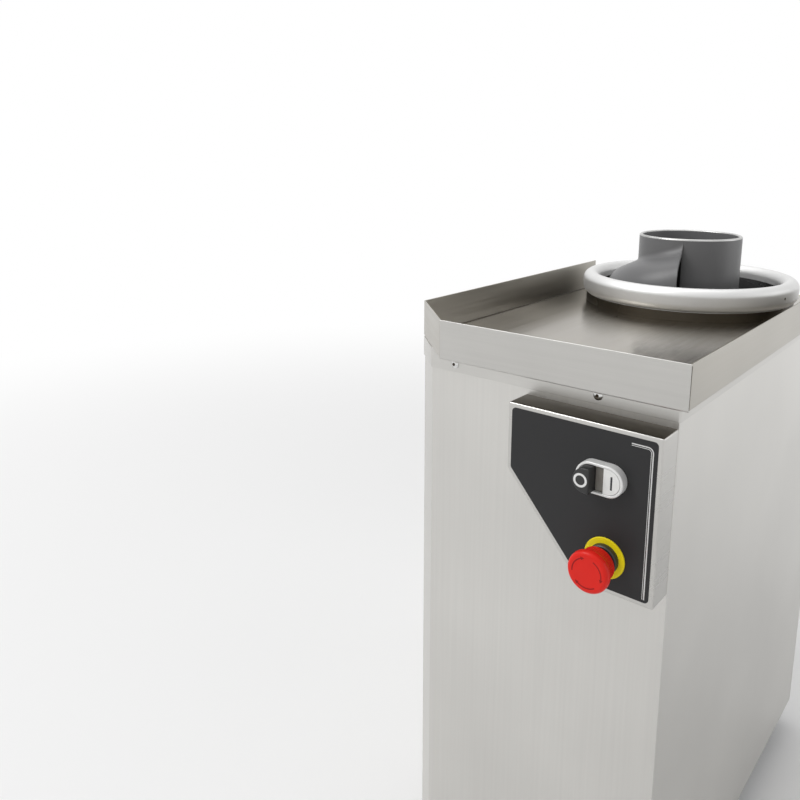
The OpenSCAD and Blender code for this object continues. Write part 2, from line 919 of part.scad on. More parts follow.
module estop_contacts() {
    color("dimgray") contact_block(estop_x, estop_z, contact_w, contact_l);
}

module estop_disc() {
    color("gold") difference() {
        bar_y(estop_x, estop_z, disc_r, label_y - disc_t, label_y);
        bar_y(estop_x, estop_z, barrel_r + free, label_y - disc_t - eps, label_y + eps);
    }
}

module estop_collar() {
    color("black") difference() {
        union() {
            bar_y(estop_x, estop_z, collar_r, collar_y, label_y - disc_t);
            bar_y(estop_x, estop_z, barrel_r, collar_y, face_y + barrel_in);
        }
        bar_y(estop_x, estop_z, stem_r + slide, collar_y - eps, face_y + barrel_in + eps);
    }
}

module estop_stem() {
    color("gray") bar_y(estop_x, estop_z, stem_r, stem_front, stem_back);
}

// Mushroom head: a domed rim that tapers to a narrower rear end, with a blind bore for the plunger
module head_section() {
    waist = head_rim + head_taper;
    difference() {
        union() {
            square([head_r - head_round, head_rim]);
            translate([0, head_round]) square([head_r, head_rim - head_round]);
            translate([head_r - head_round, head_round]) circle(head_round, $fn = 48);
            polygon([[0, head_rim], [head_r, head_rim], [head_rear_r, waist], [head_rear_r, head_l],
                [0, head_l]]);
        }
        translate([-head_r, -eps]) square([head_r, head_l + 2 * eps]);
        translate([-eps, stem_front - head_y - slide]) square([stem_r + run + eps, head_l]);
    }
}

module estop_head() {
    color("red") translate([estop_x, head_y, estop_z]) rotate([-90, 0, 0]) rotate_extrude() head_section();
}

// Electrical gear on the left panel

module mounting_rail() {
    color("silver") difference() {
        translate([in_left, rail_y, rail_z - rail_h / 2]) cube([rail_d, rail_l, rail_h]);
        translate([in_left + rail_t, rail_y - eps, rail_z - rail_h / 2 + rail_lip])
            cube([rail_d, rail_l + 2 * eps, rail_h - 2 * rail_lip]);
        for (z = [rail_z - rail_h / 2 - rail_t, rail_z + rail_h / 2 - rail_lip + rail_t]) {
            translate([in_left - eps, rail_y - eps, z])
                cube([rail_d - rail_t + eps, rail_l + 2 * eps, rail_lip]);
        }
    }
}

module contactor() {
    front = contactor_d + contactor_nose;
    color("gainsboro") translate([gear_x, rail_y + contactor_w / 4, rail_z]) {
        translate([0, 0, -contactor_h / 2]) cube([contactor_d, contactor_w, contactor_h]);
        translate([0, 0, -contactor_h * 0.3]) cube([front, contactor_w, contactor_h * 0.6]);
        translate([front - 1, (contactor_w - contactor_key) / 2, -contactor_key / 2])
            cube([3, contactor_key, contactor_key]);
    }
}

module terminal_block() {
    n = terminal_notch;
    color("tan") for (i = [0:terminal_n - 1]) {
        translate([gear_x, rail_y + contactor_w * 1.65 + i * terminal_step, rail_z]) difference() {
            translate([0, 0, -terminal_h / 2]) cube([terminal_d, terminal_step - terminal_gap, terminal_h]);
            for (z = [-terminal_h / 2 - eps, terminal_h / 2 - n + eps]) {
                translate([terminal_d - n + eps, -eps, z]) cube([n, terminal_step + eps, n]);
            }
        }
    }
}

module cable_gland() {
    y = y_back - sheet;
    color("dimgray") {
        bar_y(gland_x, gland_z, gland_r, y - gland_in, y);
        translate([gland_x, y + gland_nut_h, gland_z]) {
            rotate([90, 0, 0]) cylinder(r = gland_r * 1.35, h = gland_nut_h, $fn = 6);
            rotate([-90, 0, 0])
                cylinder(r1 = gland_r * 1.15, r2 = gland_r * 0.75, h = gland_out - gland_nut_h);
        }
    }
}

module gland_nut() {
    y = in_back;
    h = gland_nut_h - 1;
    color("dimgray") difference() {
        translate([gland_x, y, gland_z]) rotate([90, 0, 0]) cylinder(r = gland_r * 1.35, h = h, $fn = 6);
        bar_y(gland_x, gland_z, gland_r + seat, y - h - eps, y + eps);
    }
}

// Auger

// One side of the spiral's section, a distance t under its back: a hollow arc out of the neck, a slope,
// and a rounded shoulder that ends upright at the lip
function flare_side(t) =
    let (
        rf = root_fillet + t,
        rs = shoulder_round - t,
        hollow = [neck_r - seat + root_fillet, 0],
        knee = [flare_r - shoulder_round, 0],
        start = 180 + (t > 0 ? acos((root_fillet - seat + neck_wall / 2) / rf) : 0),
        way = knee.x - hollow.x,
        drop = way * tan(flare_slope) + (root_fillet + shoulder_round) / cos(flare_slope)
    )
    concat(
        [for (i = [0:arc_points])
            let (a = start + (270 - flare_slope - start) * i / arc_points)
            hollow + rf * [cos(a), sin(a)]],
        [for (i = [0:arc_points])
            let (a = (90 - flare_slope) * (1 - i / arc_points))
            knee - [0, drop] + rs * [cos(a), sin(a)]]);

// Cross-section of the spiral in radius and height, from inside the neck's wall over its back to the
// lip and back under it
function flare_section() =
    let (back = flare_side(0), under = flare_side(flare_t), low = back[len(back) - 1].y - lip_h)
    concat(
        [[neck_r - neck_wall / 2, 0]], back, [[flare_r, low], [flare_r - flare_t, low]],
        [for (i = [len(under) - 1:-1:0]) under[i]], [[neck_r - neck_wall / 2, under[0].y + seat]]);

// Section carried clockwise and downwards round the neck, closed by a flat face at each end
module flare() {
    s = flare_section();
    n = len(s);
    turns = spiral_turn / spiral_step;
    points = [for (k = [0:turns], q = s)
        let (a = seam_angle - k * spiral_step)
        [q.x * cos(a), q.x * sin(a), q.y - spiral_pitch * k * spiral_step / 360]];
    sides = [for (k = [0:turns - 1], i = [0:n - 1])
        let (a = k * n + i, b = k * n + (i + 1) % n)
        each [[a, b, b + n], [a, b + n, a + n]]];
    ends = [for (i = [0:n / 2 - 2])
        let (a = i, b = i + 1, c = n - 2 - i, d = n - 1 - i, e = turns * n)
        each [[a, c, b], [a, d, c], [e + a, e + b, e + c], [e + a, e + c, e + d]]];
    polyhedron(points, concat(sides, ends), convexity = 10);
}

module auger() {
    lip = neck_wall / 2;
    foot = auger_z - tray_z;
    color("dimgray") at_axis() translate([0, 0, tray_z]) difference() {
        union() {
            rotate_extrude() {
                translate([neck_r - neck_wall, foot]) square([neck_wall, neck_top - lip - foot]);
                translate([neck_r - lip, neck_top - lip]) circle(lip, $fn = 24);
                translate([boss_r + slide, foot]) square([neck_r - boss_r - slide, auger_floor]);
            }
            translate([0, 0, flare_root]) flare();
        }
        rotate(seam_angle + port_angle) translate([neck_r - 20, -port_w / 2, foot + auger_floor + port_sill])
            cube([24, port_w, port_h]);
        on_circle(boss_screw_circle, 4, 45)
            round_bar(boss_screw_r + seat, foot + auger_floor - boss_screw_in - 1, foot + auger_floor + eps);
    }
}

// Slot for a key along +X, from the axis out to a height above the shaft's seat
module keyway(z, above, length) {
    translate([0, -key_w / 2 - seat, z]) cube([seat_r + above, key_w + 2 * seat, length]);
}

module auger_boss() {
    flange_z = auger_z + auger_floor;
    color("silver") at_axis() difference() {
        union() {
            round_bar(boss_r, auger_z, boss_top);
            round_bar(boss_flange_r, flange_z, flange_z + boss_flange_t);
        }
        round_bar(seat_r + seat, auger_z - eps, boss_top + eps);
        keyway(boss_top - key_l - 2, key_h - key_sunk + 0.5, key_l + 4);
        on_circle(boss_screw_circle, 4, 45)
            round_bar(boss_screw_r + free, flange_z - eps, flange_z + boss_flange_t + eps);
    }
}

module boss_screws() {
    color("gainsboro") at_axis() on_circle(boss_screw_circle, 4, 45)
        translate([0, 0, auger_z + auger_floor + boss_flange_t]) rotate([-90, 0, 0])
        button_screw(boss_screw_r, boss_flange_t + boss_screw_in);
}

module auger_screw() {
    color("gainsboro") at_axis() {
        round_bar(washer_r, boss_top, boss_top + washer_t);
        translate([0, 0, boss_top + washer_t]) mirror([0, 0, 1])
            hex_screw(end_screw_r, washer_t + end_screw_in, end_screw_h);
    }
}

module drive_shaft() {
    top = boss_top - 1;
    color("lightsteelblue") at_axis() difference() {
        union() {
            round_bar(seat_r, hub_z + 1, top);
            round_bar(shaft_r, hub_top, auger_z);
        }
        round_bar(end_screw_r + seat, boss_top - end_screw_in - 1, top + eps);
        round_bar(end_screw_r + seat, hub_z, hub_z + end_screw_in + 1);
        for (z = [boss_top - key_l - 2, hub_z]) {
            translate([seat_r - key_sunk, -key_w / 2 - seat, z]) cube([seat_r, key_w + 2 * seat, key_l + 2]);
        }
    }
}

module drive_keys() {
    color("gray") at_axis() for (z = [boss_top - key_l - 1.5, hub_z + 1.5]) {
        translate([seat_r - key_sunk, -key_w / 2, z]) cube([key_h, key_w, key_l]);
    }
}

module driven_pulley() {
    inside = pulley_r - rim_t;
    color("gray") at_axis() difference() {
        translate([0, 0, belt_z]) rotate_extrude() {
            pulley_rim(pulley_r, inside);
            translate([seat_r + seat, -pulley_web / 2]) square([inside + 1 - seat_r, pulley_web]);
            translate([seat_r + seat, -pulley_hub_l / 2]) square([pulley_hub_r - seat_r, pulley_hub_l]);
        }
        keyway(hub_z - eps, key_h - key_sunk + 0.5, key_l + 3);
        on_circle((inside + pulley_hub_r) / 2, 5, 36)
            round_bar(pulley_hole_r, belt_z - pulley_web, belt_z + pulley_web);
    }
}

module pulley_screw() {
    color("gainsboro") at_axis() {
        round_bar(washer_r, hub_z - washer_t, hub_z);
        translate([0, 0, hub_z - washer_t]) hex_screw(end_screw_r, washer_t + end_screw_in, end_screw_h);
    }
}

// Motor's turning parts

module motor_shaft() {
    color("lightsteelblue") at_motor() round_bar(rotor_r, fan_z - 4, belt_z + rim_w / 2 + 4);
}

module motor_pulley() {
    color("gray") at_motor() difference() {
        union() {
            translate([0, 0, belt_z]) rotate_extrude() pulley_rim(pinion_r, rotor_r + seat);
            ring(rotor_r + 7, rotor_r + seat, belt_z - rim_w / 2 - 8, belt_z);
        }
        translate([0, 0, belt_z - rim_w / 2 - 4]) rotate([0, 90, 0])
            cylinder(r = 2, h = rotor_r + 8, $fn = 24);
    }
}

module motor_fan() {
    blade_r = motor_r - 8;
    color("dimgray") at_motor() {
        ring(rotor_r + 6, rotor_r + seat, fan_z, fan_z + fan_l - 8);
        ring(blade_r, rotor_r + seat, fan_z + fan_l - 10, fan_z + fan_l - 8);
        for (i = [0:fan_blades - 1]) {
            rotate(i * 360 / fan_blades) translate([rotor_r + 5, -1, fan_z])
                cube([blade_r - rotor_r - 6, 2, fan_l - 9]);
        }
    }
}

feet();
foot_studs();
base_pan();
front_panel();
left_panel();
right_panel();
rear_panel();
rear_screws();
top_deck();
deck_screws();
tray();
bowl();
bowl_bolts();
bearing_housing();
housing_bolts();
upper_bearing();
lower_bearing();
shaft_seal();
motor_bracket();
motor_body();
motor_bolts();
motor_terminal_box();
fan_cover();
drive_belt();
control_box();
control_label();
switch_bezel();
switch_lens();
switch_contacts();
estop_disc();
estop_collar();
estop_contacts();
mounting_rail();
contactor();
terminal_block();
cable_gland();
gland_nut();
auger();
auger_boss();
boss_screws();
auger_screw();
drive_shaft();
drive_keys();
driven_pulley();
pulley_screw();
motor_shaft();
motor_pulley();
motor_fan();
stop_button();
start_button();
estop_stem();
estop_head();
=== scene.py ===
"""Dough rounder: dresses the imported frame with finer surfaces, finishes and a plain studio."""
import json
from math import acos, asin, cos, pi, radians, tan

import bmesh
import bpy
import numpy as np
from bpy.props import FloatProperty, FloatVectorProperty, PointerProperty
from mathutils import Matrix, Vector


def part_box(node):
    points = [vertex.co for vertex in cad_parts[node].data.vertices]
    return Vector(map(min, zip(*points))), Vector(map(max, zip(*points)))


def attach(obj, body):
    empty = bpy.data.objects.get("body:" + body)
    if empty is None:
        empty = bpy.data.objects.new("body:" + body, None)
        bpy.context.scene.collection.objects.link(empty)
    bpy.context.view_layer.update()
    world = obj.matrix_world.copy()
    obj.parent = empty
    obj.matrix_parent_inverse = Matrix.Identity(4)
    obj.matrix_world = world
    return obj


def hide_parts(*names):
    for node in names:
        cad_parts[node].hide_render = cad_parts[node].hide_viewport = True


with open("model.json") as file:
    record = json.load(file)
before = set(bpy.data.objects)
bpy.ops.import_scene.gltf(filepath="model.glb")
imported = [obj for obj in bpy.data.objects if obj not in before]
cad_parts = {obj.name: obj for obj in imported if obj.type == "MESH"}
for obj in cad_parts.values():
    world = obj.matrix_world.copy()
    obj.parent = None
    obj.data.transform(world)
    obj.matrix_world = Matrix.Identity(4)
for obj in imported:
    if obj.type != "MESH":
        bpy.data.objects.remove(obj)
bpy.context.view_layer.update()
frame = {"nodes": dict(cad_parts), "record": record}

bl_info = {
    "name": "Dough rounder",
    "version": (1, 0, 0),
    "blender": (4, 2, 0),
    "location": "View3D > Sidebar > Dough rounder",
    "description": "Builds the visible pieces of a floor-standing dough rounder and its studio",
    "category": "Object",
}

# In metres: places closer than NEAR are one, points closer than MERGE are joined, a dark patch of painted
# shade stands SKIN out of its face, a dark skin of painted shade and reflection is FILM thick, and a sign
# starts SIGN_IN under its face and ends SIGN_OUT over it
NEAR, MERGE, SKIN, FILM = 2e-5, 1e-6, 0.00005, 0.0002
SIGN_IN, SIGN_OUT = 0.0001, 0.00012
# Bends over SHARP show as edges, and a piece's bevel rounds those over ROUNDED
SHARP, ROUNDED = radians(32), radians(40)


# Sizes read from the frame

def span(node):
    """Lowest and highest corner of a CAD node, as arrays in metres."""
    lo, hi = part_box(node)
    return np.array(lo), np.array(hi)


def middle(node):
    """Centre of a CAD node's box."""
    lo, hi = span(node)
    return (lo + hi) / 2


def half_width(node):
    """Half the width of a CAD node along X, which is the radius of a round one."""
    lo, hi = span(node)
    return (hi[0] - lo[0]) / 2


def vertices(node):
    """All vertices of a CAD node."""
    mesh = frame["nodes"][node].data
    co = np.empty(3 * len(mesh.vertices), dtype=np.float32)
    mesh.vertices.foreach_get("co", co)
    return co.reshape(-1, 3)


def row(node, axis, apart=0.02):
    """Middles of a row of equal pieces of a CAD node: its sorted vertices, parted at gaps over apart."""
    x = np.sort(vertices(node)[:, axis])
    return [(p[0] + p[-1]) / 2 for p in np.split(x, np.flatnonzero(np.diff(x) > apart) + 1)]


def reach(node, face, side, axis, end):
    """Lowest or highest value along one axis among the vertices on one face of a CAD node's box."""
    co = vertices(node)
    edge = co[:, face].min() if side < 0 else co[:, face].max()
    on_face = co[np.abs(co[:, face] - edge) < NEAR, axis]
    return float(on_face.min() if end < 0 else on_face.max())


def cut_outline(node, up):
    """Outline in X and the axis up of a CAD node, its low left corner cut, from its low right corner on."""
    lo, hi = span(node)
    return np.array([[hi[0], lo[up]], [hi[0], hi[up]], [lo[0], hi[up]], [lo[0], reach(node, 0, -1, up, -1)],
                     [reach(node, up, -1, 0, -1), lo[up]]])


# Settings

def length(name, description, default):
    """A length in metres."""
    return FloatProperty(name=name, description=description, default=default, unit="LENGTH", precision=4)


def angle(name, description, default):
    """An angle, given in degrees."""
    return FloatProperty(name=name, description=description, default=radians(default), unit="ROTATION")


def number(name, description, default):
    """A plain number; where it has a unit, the description says which."""
    return FloatProperty(name=name, description=description, default=default)


def colour(name, description, default):
    """A linear colour."""
    return FloatVectorProperty(name=name, description=description, default=default, size=3, subtype="COLOR",
                               min=0.0, max=1.0)


class RounderSheet(bpy.types.PropertyGroup):
    """Folded sheet metal of the cabinet, the deck, the tray and the control box, its screws and feet."""
    thickness: length("Thickness", "Thickness of the folded sheet", 0.0015)
    fold: length("Fold radius", "Outer radius of a fold", 0.0025)
    bend: length("Panel bend", "Radius of the bend at the front panel's cut corner", 0.004)
    cut_bend: length("Tray bend", "Radius of the bends at the tray's cut corner", 0.003)
    box_round: length("Box round", "Radius of the control box's edges", 0.0016)
    edge: length("Cut edge", "Width of the small round on a cut edge", 0.0003)
    deck: length("Deck", "Thickness of the deck's plate", 0.002)
    deck_room: length("Deck room", "Distance from the bowl's inside to the deck's hole", 0.006)
    rear_flange: length("Rear flange", "Width of the side panels' rear flange", 0.018)
    flange_low: length("Flange foot", "Distance of the rear flange from the panel's lower edge", 0.04)
    flange_high: length("Flange head", "Distance of the rear flange from the panel's upper edge", 0.03)
    seam: length("Seam", "Gap between the tray's front and right flange", 0.0018)
    seam_top: length("Seam top", "Height that closes the seam at the flange's top", 0.002)
    socket: length("Socket", "Radius of the deck screws' hexagon socket", 0.0019)
    foot: length("Foot", "Radius of a foot", 0.022)
    steel: colour("Stainless", "Satin stainless sheet", (0.62, 0.61, 0.585))


class RounderBowl(bpy.types.PropertyGroup):
    """Bowl with a rounded rim."""
    inner: length("Inner radius", "Inner radius of the bowl", 0.121)
    wall: length("Wall", "Wall of the bowl", 0.005)
    rim_width: length("Rim width", "Width of the rim's bead", 0.022)
    rim_height: length("Rim height", "Height of the rim's bead", 0.031)
    shoulder: length("Shoulder", "Radius of the shoulder that stands on the tray", 0.137)
    floor: length("Floor", "Thickness of the bowl's floor", 0.009)
    fillet: length("Fillet", "Fillet between floor and wall", 0.016)
    bore: length("Bore", "Radius of the bore for the shaft's seal", 0.020)
    # Where the painted shade of the dark inside begins below the rim's round
    shade: length("Shade", "Distance from the rim's round to the dark inside", 0.006)
    hole: angle("Hole", "Heading of the small hole in the rim, from +X", -14)
    alloy: colour("Alloy", "Satin aluminium", (0.66, 0.66, 0.655))


class RounderAuger(bpy.types.PropertyGroup):
    """Neck with the spiral that winds down round it."""
    neck: length("Neck radius", "Outer radius of the neck", 0.068)
    wall: length("Neck wall", "Wall of the neck", 0.0045)
    floor: length("Floor", "Thickness of the auger's floor", 0.008)
    boss: length("Boss radius", "Radius of the hole for the boss", 0.0253)
    root: length("Root height", "Height of the spiral's root at its open end, above the tray", 0.0953)
    pitch: length("Pitch", "Fall of the spiral in one turn", 0.096)
    fillet: length("Root fillet", "Radius of the hollow between the neck and the spiral", 0.005)
    open_fillet: length("Open fillet", "Radius of that hollow at the spiral's open end", 0.020)
    shoulder: length("Shoulder", "Radius of the round above the lip", 0.037)
    inset: length("Inset", "Room between the spiral and the auger's box", 0.006)
    lip: length("Lip", "Height of the lip", 0.012)
    thickness: length("Thickness", "Thickness of the spiral's wall", 0.005)
    port_width: length("Port width", "Width of the port low in the neck", 0.072)
    port_low: length("Port sill", "Height of the port's lower edge above the auger's foot", 0.010)
    port_high: length("Port head", "Height of the port's upper edge above the auger's foot", 0.051)
    slope: angle("Slope", "Slope of the spiral's back", 25)
    seam: angle("Open end", "Heading of the spiral's open end, from +X", -77)
    port: angle("Port heading", "Heading of the port, from +X", -35)
    haste: number("Haste", "Power of the fall; under 1 it is steeper at the open end", 0.7)
    coat: colour("Coat", "Dark grey non-stick coat", (0.124, 0.124, 0.126))


class RounderSwitches(bpy.types.PropertyGroup):
    """Label, push button and emergency stop."""
    label_round: length("Label corners", "Radius of the label's corners", 0.004)
    line: length("Line", "Width of the label's outer line", 0.0011)
    line_gap: length("Line gap", "Gap between the label's two lines", 0.0009)
    line_round: length("Line corner", "Radius of the outer line's corner", 0.0055)
    line_run: length("Line run", "Length of the line along the label's top", 0.0205)
    line_side: length("Line side", "Distance of the line from the label's right edge", 0.0036)
    line_top: length("Line top", "Distance of the line from the label's upper edge", 0.0055)
    line_end: length("Line end", "Distance of the line's end below the emergency stop's disc", 0.0075)
    wall: length("Bezel wall", "Wall of the push button's bezel", 0.0026)
    floor: length("Bezel floor", "Thickness of the bezel's floor", 0.003)
    ring: length("Ring", "Outer radius of the ring on the stop button", 0.0067)
    ring_width: length("Ring width", "Width of that ring", 0.0021)
    bar: length("Bar", "Length of the bar on the start button", 0.0128)
    bar_width: length("Bar width", "Width of that bar", 0.0018)
    thread: length("Thread", "Radius of the collar's thread in the box", 0.011)
    head_rim: length("Head rim", "Thickness of the mushroom head's rim", 0.008)
    head_rear: length("Head rear", "Radius of the mushroom head's rear end", 0.0165)
    arrow: length("Arrow", "Radius of the arrows on the mushroom head", 0.01415)
    red: colour("Red", "Red of the mushroom head", (0.80, 0.020, 0.012))
    yellow: colour("Yellow", "Yellow of the disc", (0.96, 0.80, 0.008))
    black: colour("Black", "Matte black of the label", (0.030, 0.030, 0.031))


class RounderStage(bpy.types.PropertyGroup):
    """Camera and light."""
    from_tray: FloatVectorProperty(name="Camera place", default=(0.2130, -0.6187, 0.2154), size=3,
                                   description="From the tray's lower front right corner", unit="LENGTH")
    yaw: angle("Yaw", "Turn of the camera to the left of +Y", 40.41)
    pitch: angle("Pitch", "Tilt of the camera below the horizon", 11.38)
    lens: number("Lens", "Focal length on a 36 mm sensor, in millimetres", 34.70)
    shift: number("Shift", "Vertical shift of the frame", -0.12)
    key: number("Key light", "Power of the key light in watts", 50.0)
    side: number("Side light", "Power of the light on the right side in watts", 8.0)
    top: number("Top light", "Power of the light from above in watts", 14.0)
    sky: number("Sky", "Level of the soft light from all round", 0.52)


# Surfaces

def arc(cx, cy, r, a0, a1, steps):
    """Points of an arc, angles in radians."""
    a = np.linspace(a0, a1, steps)
    return np.stack([cx + r * np.cos(a), cy + r * np.sin(a)], 1)


def offset_line(outline, inset, radius=0.0, steps=4, closed=True):
    """Line through the outline's corners moved to its left by inset, each corner an arc.

    An arc's centre lies on the corner's bisector, inset plus r from both edges, and the arc turns from one
    edge's normal to the next one's; r is the given radius less the inset. The count of points is the same
    for every inset, so lines of different insets can be lofted.
    """
    p = np.asarray(outline, float)
    edge = np.roll(p, -1, 0) - p if closed else np.diff(p, axis=0)
    edge = edge / np.linalg.norm(edge, axis=1, keepdims=True)
    normal = np.stack([-edge[:, 1], edge[:, 0]], 1)
    before, after, at = (np.roll(normal, 1, 0), normal, p) if closed else (normal[:-1], normal[1:], p[1:-1])
    r = max(radius - inset, NEAR)
    centre = at + (inset + r) * (before + after) / (1 + (before * after).sum(1, keepdims=True))
    start = np.arctan2(-before[:, 1], -before[:, 0])
    turn = (np.arctan2(-after[:, 1], -after[:, 0]) - start) % (2 * pi)
    a = start[:, None] + turn[:, None] * np.linspace(0, 1, steps + 1)
    line = (centre[:, None] + r * np.stack([np.cos(a), np.sin(a)], 2)).reshape(-1, 2)
    if closed:
        return line
    return np.concatenate([p[:1] + inset * normal[:1], line, p[-1:] + inset * normal[-1:]])


def seen_from(centre, line, angles):
    """Points where rays from the centre, at the given angles, cross a closed convex line round it.

    A ray in direction u crosses the side from p to q where the cross products of u with p and q change sign.
    """
    d = line - centre
    a = np.arctan2(d[:, 1], d[:, 0])
    order = np.argsort(a)
    d, a = d[order], a[order]
    d, a = np.concatenate([d[-1:], d, d[:1]]), np.concatenate([a[-1:] - 2 * pi, a, a[:1] + 2 * pi])
    k = np.clip(np.searchsorted(a, angles, side="right") - 1, 0, len(a) - 2)
    u = np.stack([np.cos(angles), np.sin(angles)], 1)
    cross_p = u[:, 0] * d[k, 1] - u[:, 1] * d[k, 0]
    cross_q = u[:, 0] * d[k + 1, 1] - u[:, 1] * d[k + 1, 0]
    t = (cross_p / (cross_p - cross_q))[:, None]
    return centre + d[k] + t * (d[k + 1] - d[k])


def cells(m, n, run_closed):
    """Quads between m rings of n points each, one row of them from every ring to the next."""
    i, j = np.arange(m if run_closed else m - 1)[:, None], np.arange(n)[None]
    near, far = i * n, (i + 1) % m * n
    return np.stack([near + j, near + (j + 1) % n, far + (j + 1) % n, far + j], 2)


def loft(rings, run_closed=False, capped=True):
    """Quads over a grid of points: its first index runs along the loft and its second goes round a ring.

    The first and the last ring become faces too, unless the run is closed on itself or isn't capped.
    """
    rings = np.asarray(rings, float)
    m, n = rings.shape[:2]
    quads = cells(m, n, run_closed).reshape(-1, 4).tolist()
    if capped and not run_closed:
        quads += [list(range(n)), list(range((m - 1) * n, m * n))]
    return rings.reshape(-1, 3), quads


def revolve(profile, centre, axis=2, steps=96, ripple=0.0, count=0):
    """Profile of radius and height turned about an axis through the centre.

    A point (r, h) goes to r (cos a, sin a) across the axis and h along it. A ripple adds its amplitude times
    cos(count a) to the radius, which gives a knurl. A profile that starts and ends on the axis closes in
    poles, any other one is closed on itself.
    """
    profile = np.asarray(profile, float)
    a = np.arange(steps) * 2 * pi / steps
    wave = np.broadcast_to(ripple, len(profile))[:, None] * np.cos(count * a)
    r, h = profile[:, :1] + wave, profile[:, 1:]
    across = [k for k in range(3) if k != axis]
    out = np.zeros((len(profile), steps, 3))
    out[..., across[0]] = centre[across[0]] + r * np.cos(a)
    out[..., across[1]] = centre[across[1]] + r * np.sin(a)
    out[..., axis] = centre[axis] + h
    poles = profile[0, 0] < MERGE and profile[-1, 0] < MERGE
    return loft(out, run_closed=not poles, capped=False)


def band(outline, profile, radius=0.0, steps=4, closed=False):
    """Profile of inset and height carried along a line in plan, with rounded corners and closed ends."""
    lines = np.stack([offset_line(outline, d, radius, steps, closed) for d, _ in profile], 1)
    heights = np.broadcast_to([z for _, z in profile], lines.shape[:2])
    return loft(np.concatenate([lines, heights[..., None]], 2), run_closed=closed)


def strip(low, high, t):
    """Profile of an upright sheet in inset and height."""
    return [(0, low), (0, high), (t, high), (t, low)]


def plate_round(outline, centre, hole, low, high, radius, inset=0.0, rays=240):
    """Flat plate between a convex outline and a round hole in it, as a closed ring of four lofted lines."""
    line = offset_line(outline, inset, radius, 6)
    d = line - centre
    angles = np.concatenate([np.arctan2(d[:, 1], d[:, 0]), np.linspace(-pi, pi, rays, endpoint=False)])
    angles = np.sort(angles)
    rim = seen_from(centre, line, angles)
    inner = centre + hole * np.stack([np.cos(angles), np.sin(angles)], 1)
    rings = [np.column_stack([q, np.full(len(q), z)]) for q, z in
             ((rim, low), (rim, high), (inner, high), (inner, low))]
    return loft(np.stack(rings), run_closed=True)


def slab_y(lines, depths):
    """Outlines in X and Z lofted along Y, one depth for each, with flat ends."""
    return loft(np.stack([np.column_stack([q[:, 0], np.full(len(q), y), q[:, 1]])
                          for q, y in zip(lines, depths)]))


def rounded_front(face, r, steps):
    """Insets and depths of a rounded edge: a quarter circle of radius r from a slab's side to its face."""
    return [(d, face + y) for d, y in arc(r, r, r, pi, 1.5 * pi, steps)]


def oval(long, high, inset=0.0, steps=24):
    """Oval along X about the origin: two half rounds with straight sides between them."""
    end = arc((long - high) / 2, 0, high / 2 - inset, -pi / 2, pi / 2, steps)
    return np.concatenate([end, -end])


def half_oval(long, high, gap, side, inset=0.0, steps=24):
    """End of an oval cut off straight at a gap from its middle; side is -1 for the left end."""
    r = high / 2 - inset
    end = arc((long - high) / 2, 0, r, -pi / 2, pi / 2, steps)
    return np.concatenate([end, [(gap + inset, r), (gap + inset, -r)]]) * (side, 1.0)


def piece(name, parts, body, slot, look=None, node=None, bevel=0.0):
    """Joins lofted parts into one object at the origin that rides on a CAD body and stands for a node.

    The look is the name of its finish. Without one it has the finish of its slot.
    """
    starts = np.cumsum([0] + [len(v) for v, _ in parts])
    mesh = bpy.data.meshes.new(name)
    mesh.from_pydata(np.concatenate([v for v, _ in parts]).tolist(), [],
                     [[k + s for k in f] for (_, faces), s in zip(parts, starts.tolist()) for f in faces])
    bm = bmesh.new()
    bm.from_mesh(mesh)
    bmesh.ops.remove_doubles(bm, verts=bm.verts, dist=MERGE)
    bmesh.ops.dissolve_degenerate(bm, edges=bm.edges, dist=MERGE)
    bmesh.ops.recalc_face_normals(bm, faces=bm.faces)
    bm.to_mesh(mesh)
    bm.free()
    mesh.materials.append(material(look or slot))
    mesh.shade_smooth()
    mesh.set_sharp_from_angle(angle=SHARP)
    obj = bpy.data.objects.new(name, mesh)
    bpy.context.scene.collection.objects.link(obj)
    if bevel:
        edge = obj.modifiers.new("Edge", "BEVEL")
        edge.width = bevel
        edge.segments = 2
        edge.limit_method = "ANGLE"
        edge.angle_limit = ROUNDED
        edge.harden_normals = True
    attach(obj, body)
    if node:
        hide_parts(node)


# Finishes

def group(name, inputs, outputs):
    """New shader node group with its input and output nodes."""
    tree = bpy.data.node_groups.new(name, "ShaderNodeTree")
    for label, kind in inputs:
        tree.interface.new_socket(label, in_out="INPUT", socket_type="NodeSocket" + kind)
    for label, kind in outputs:
        tree.interface.new_socket(label, in_out="OUTPUT", socket_type="NodeSocket" + kind)
    return tree, tree.nodes.new("NodeGroupInput"), tree.nodes.new("NodeGroupOutput")


def made(tree, *kinds):
    """New shader nodes of the given kinds."""
    return [tree.nodes.new("ShaderNode" + kind) for kind in kinds]


def dial(node, **values):
    """Sets inputs of a node by their names, an underscore for each blank."""
    for name, value in values.items():
        node.inputs[name.replace("_", " ")].default_value = value


def join(tree, *wires):
    """Links nodes; a wire is a node and its output, then the next node and its input."""
    for source, output, target, socket in wires:
        tree.links.new(source.outputs[output], target.inputs[socket])


def fine_relief(name, detail, roughness, distance):
    """Fine lines or grit as a height and a normal.

    It is noise over object coordinates multiplied by Stretch, which is low along lines and high across them.
    """
    tree, inp, out = group(name, [("Stretch", "Vector"), ("Depth", "Float")],
                           [("Height", "Float"), ("Normal", "Vector")])
    coord, stretch, noise, bump = made(tree, "TexCoord", "VectorMath", "TexNoise", "Bump")
    stretch.operation = "MULTIPLY"
    dial(noise, Scale=1.0, Detail=detail, Roughness=roughness)
    dial(bump, Distance=distance)
    join(tree, (coord, "Object", stretch, 0), (inp, "Stretch", stretch, 1),
         (stretch, "Vector", noise, "Vector"), (noise, "Fac", bump, "Height"),
         (inp, "Depth", bump, "Strength"), (noise, "Fac", out, "Height"), (bump, "Normal", out, "Normal"))
    return tree


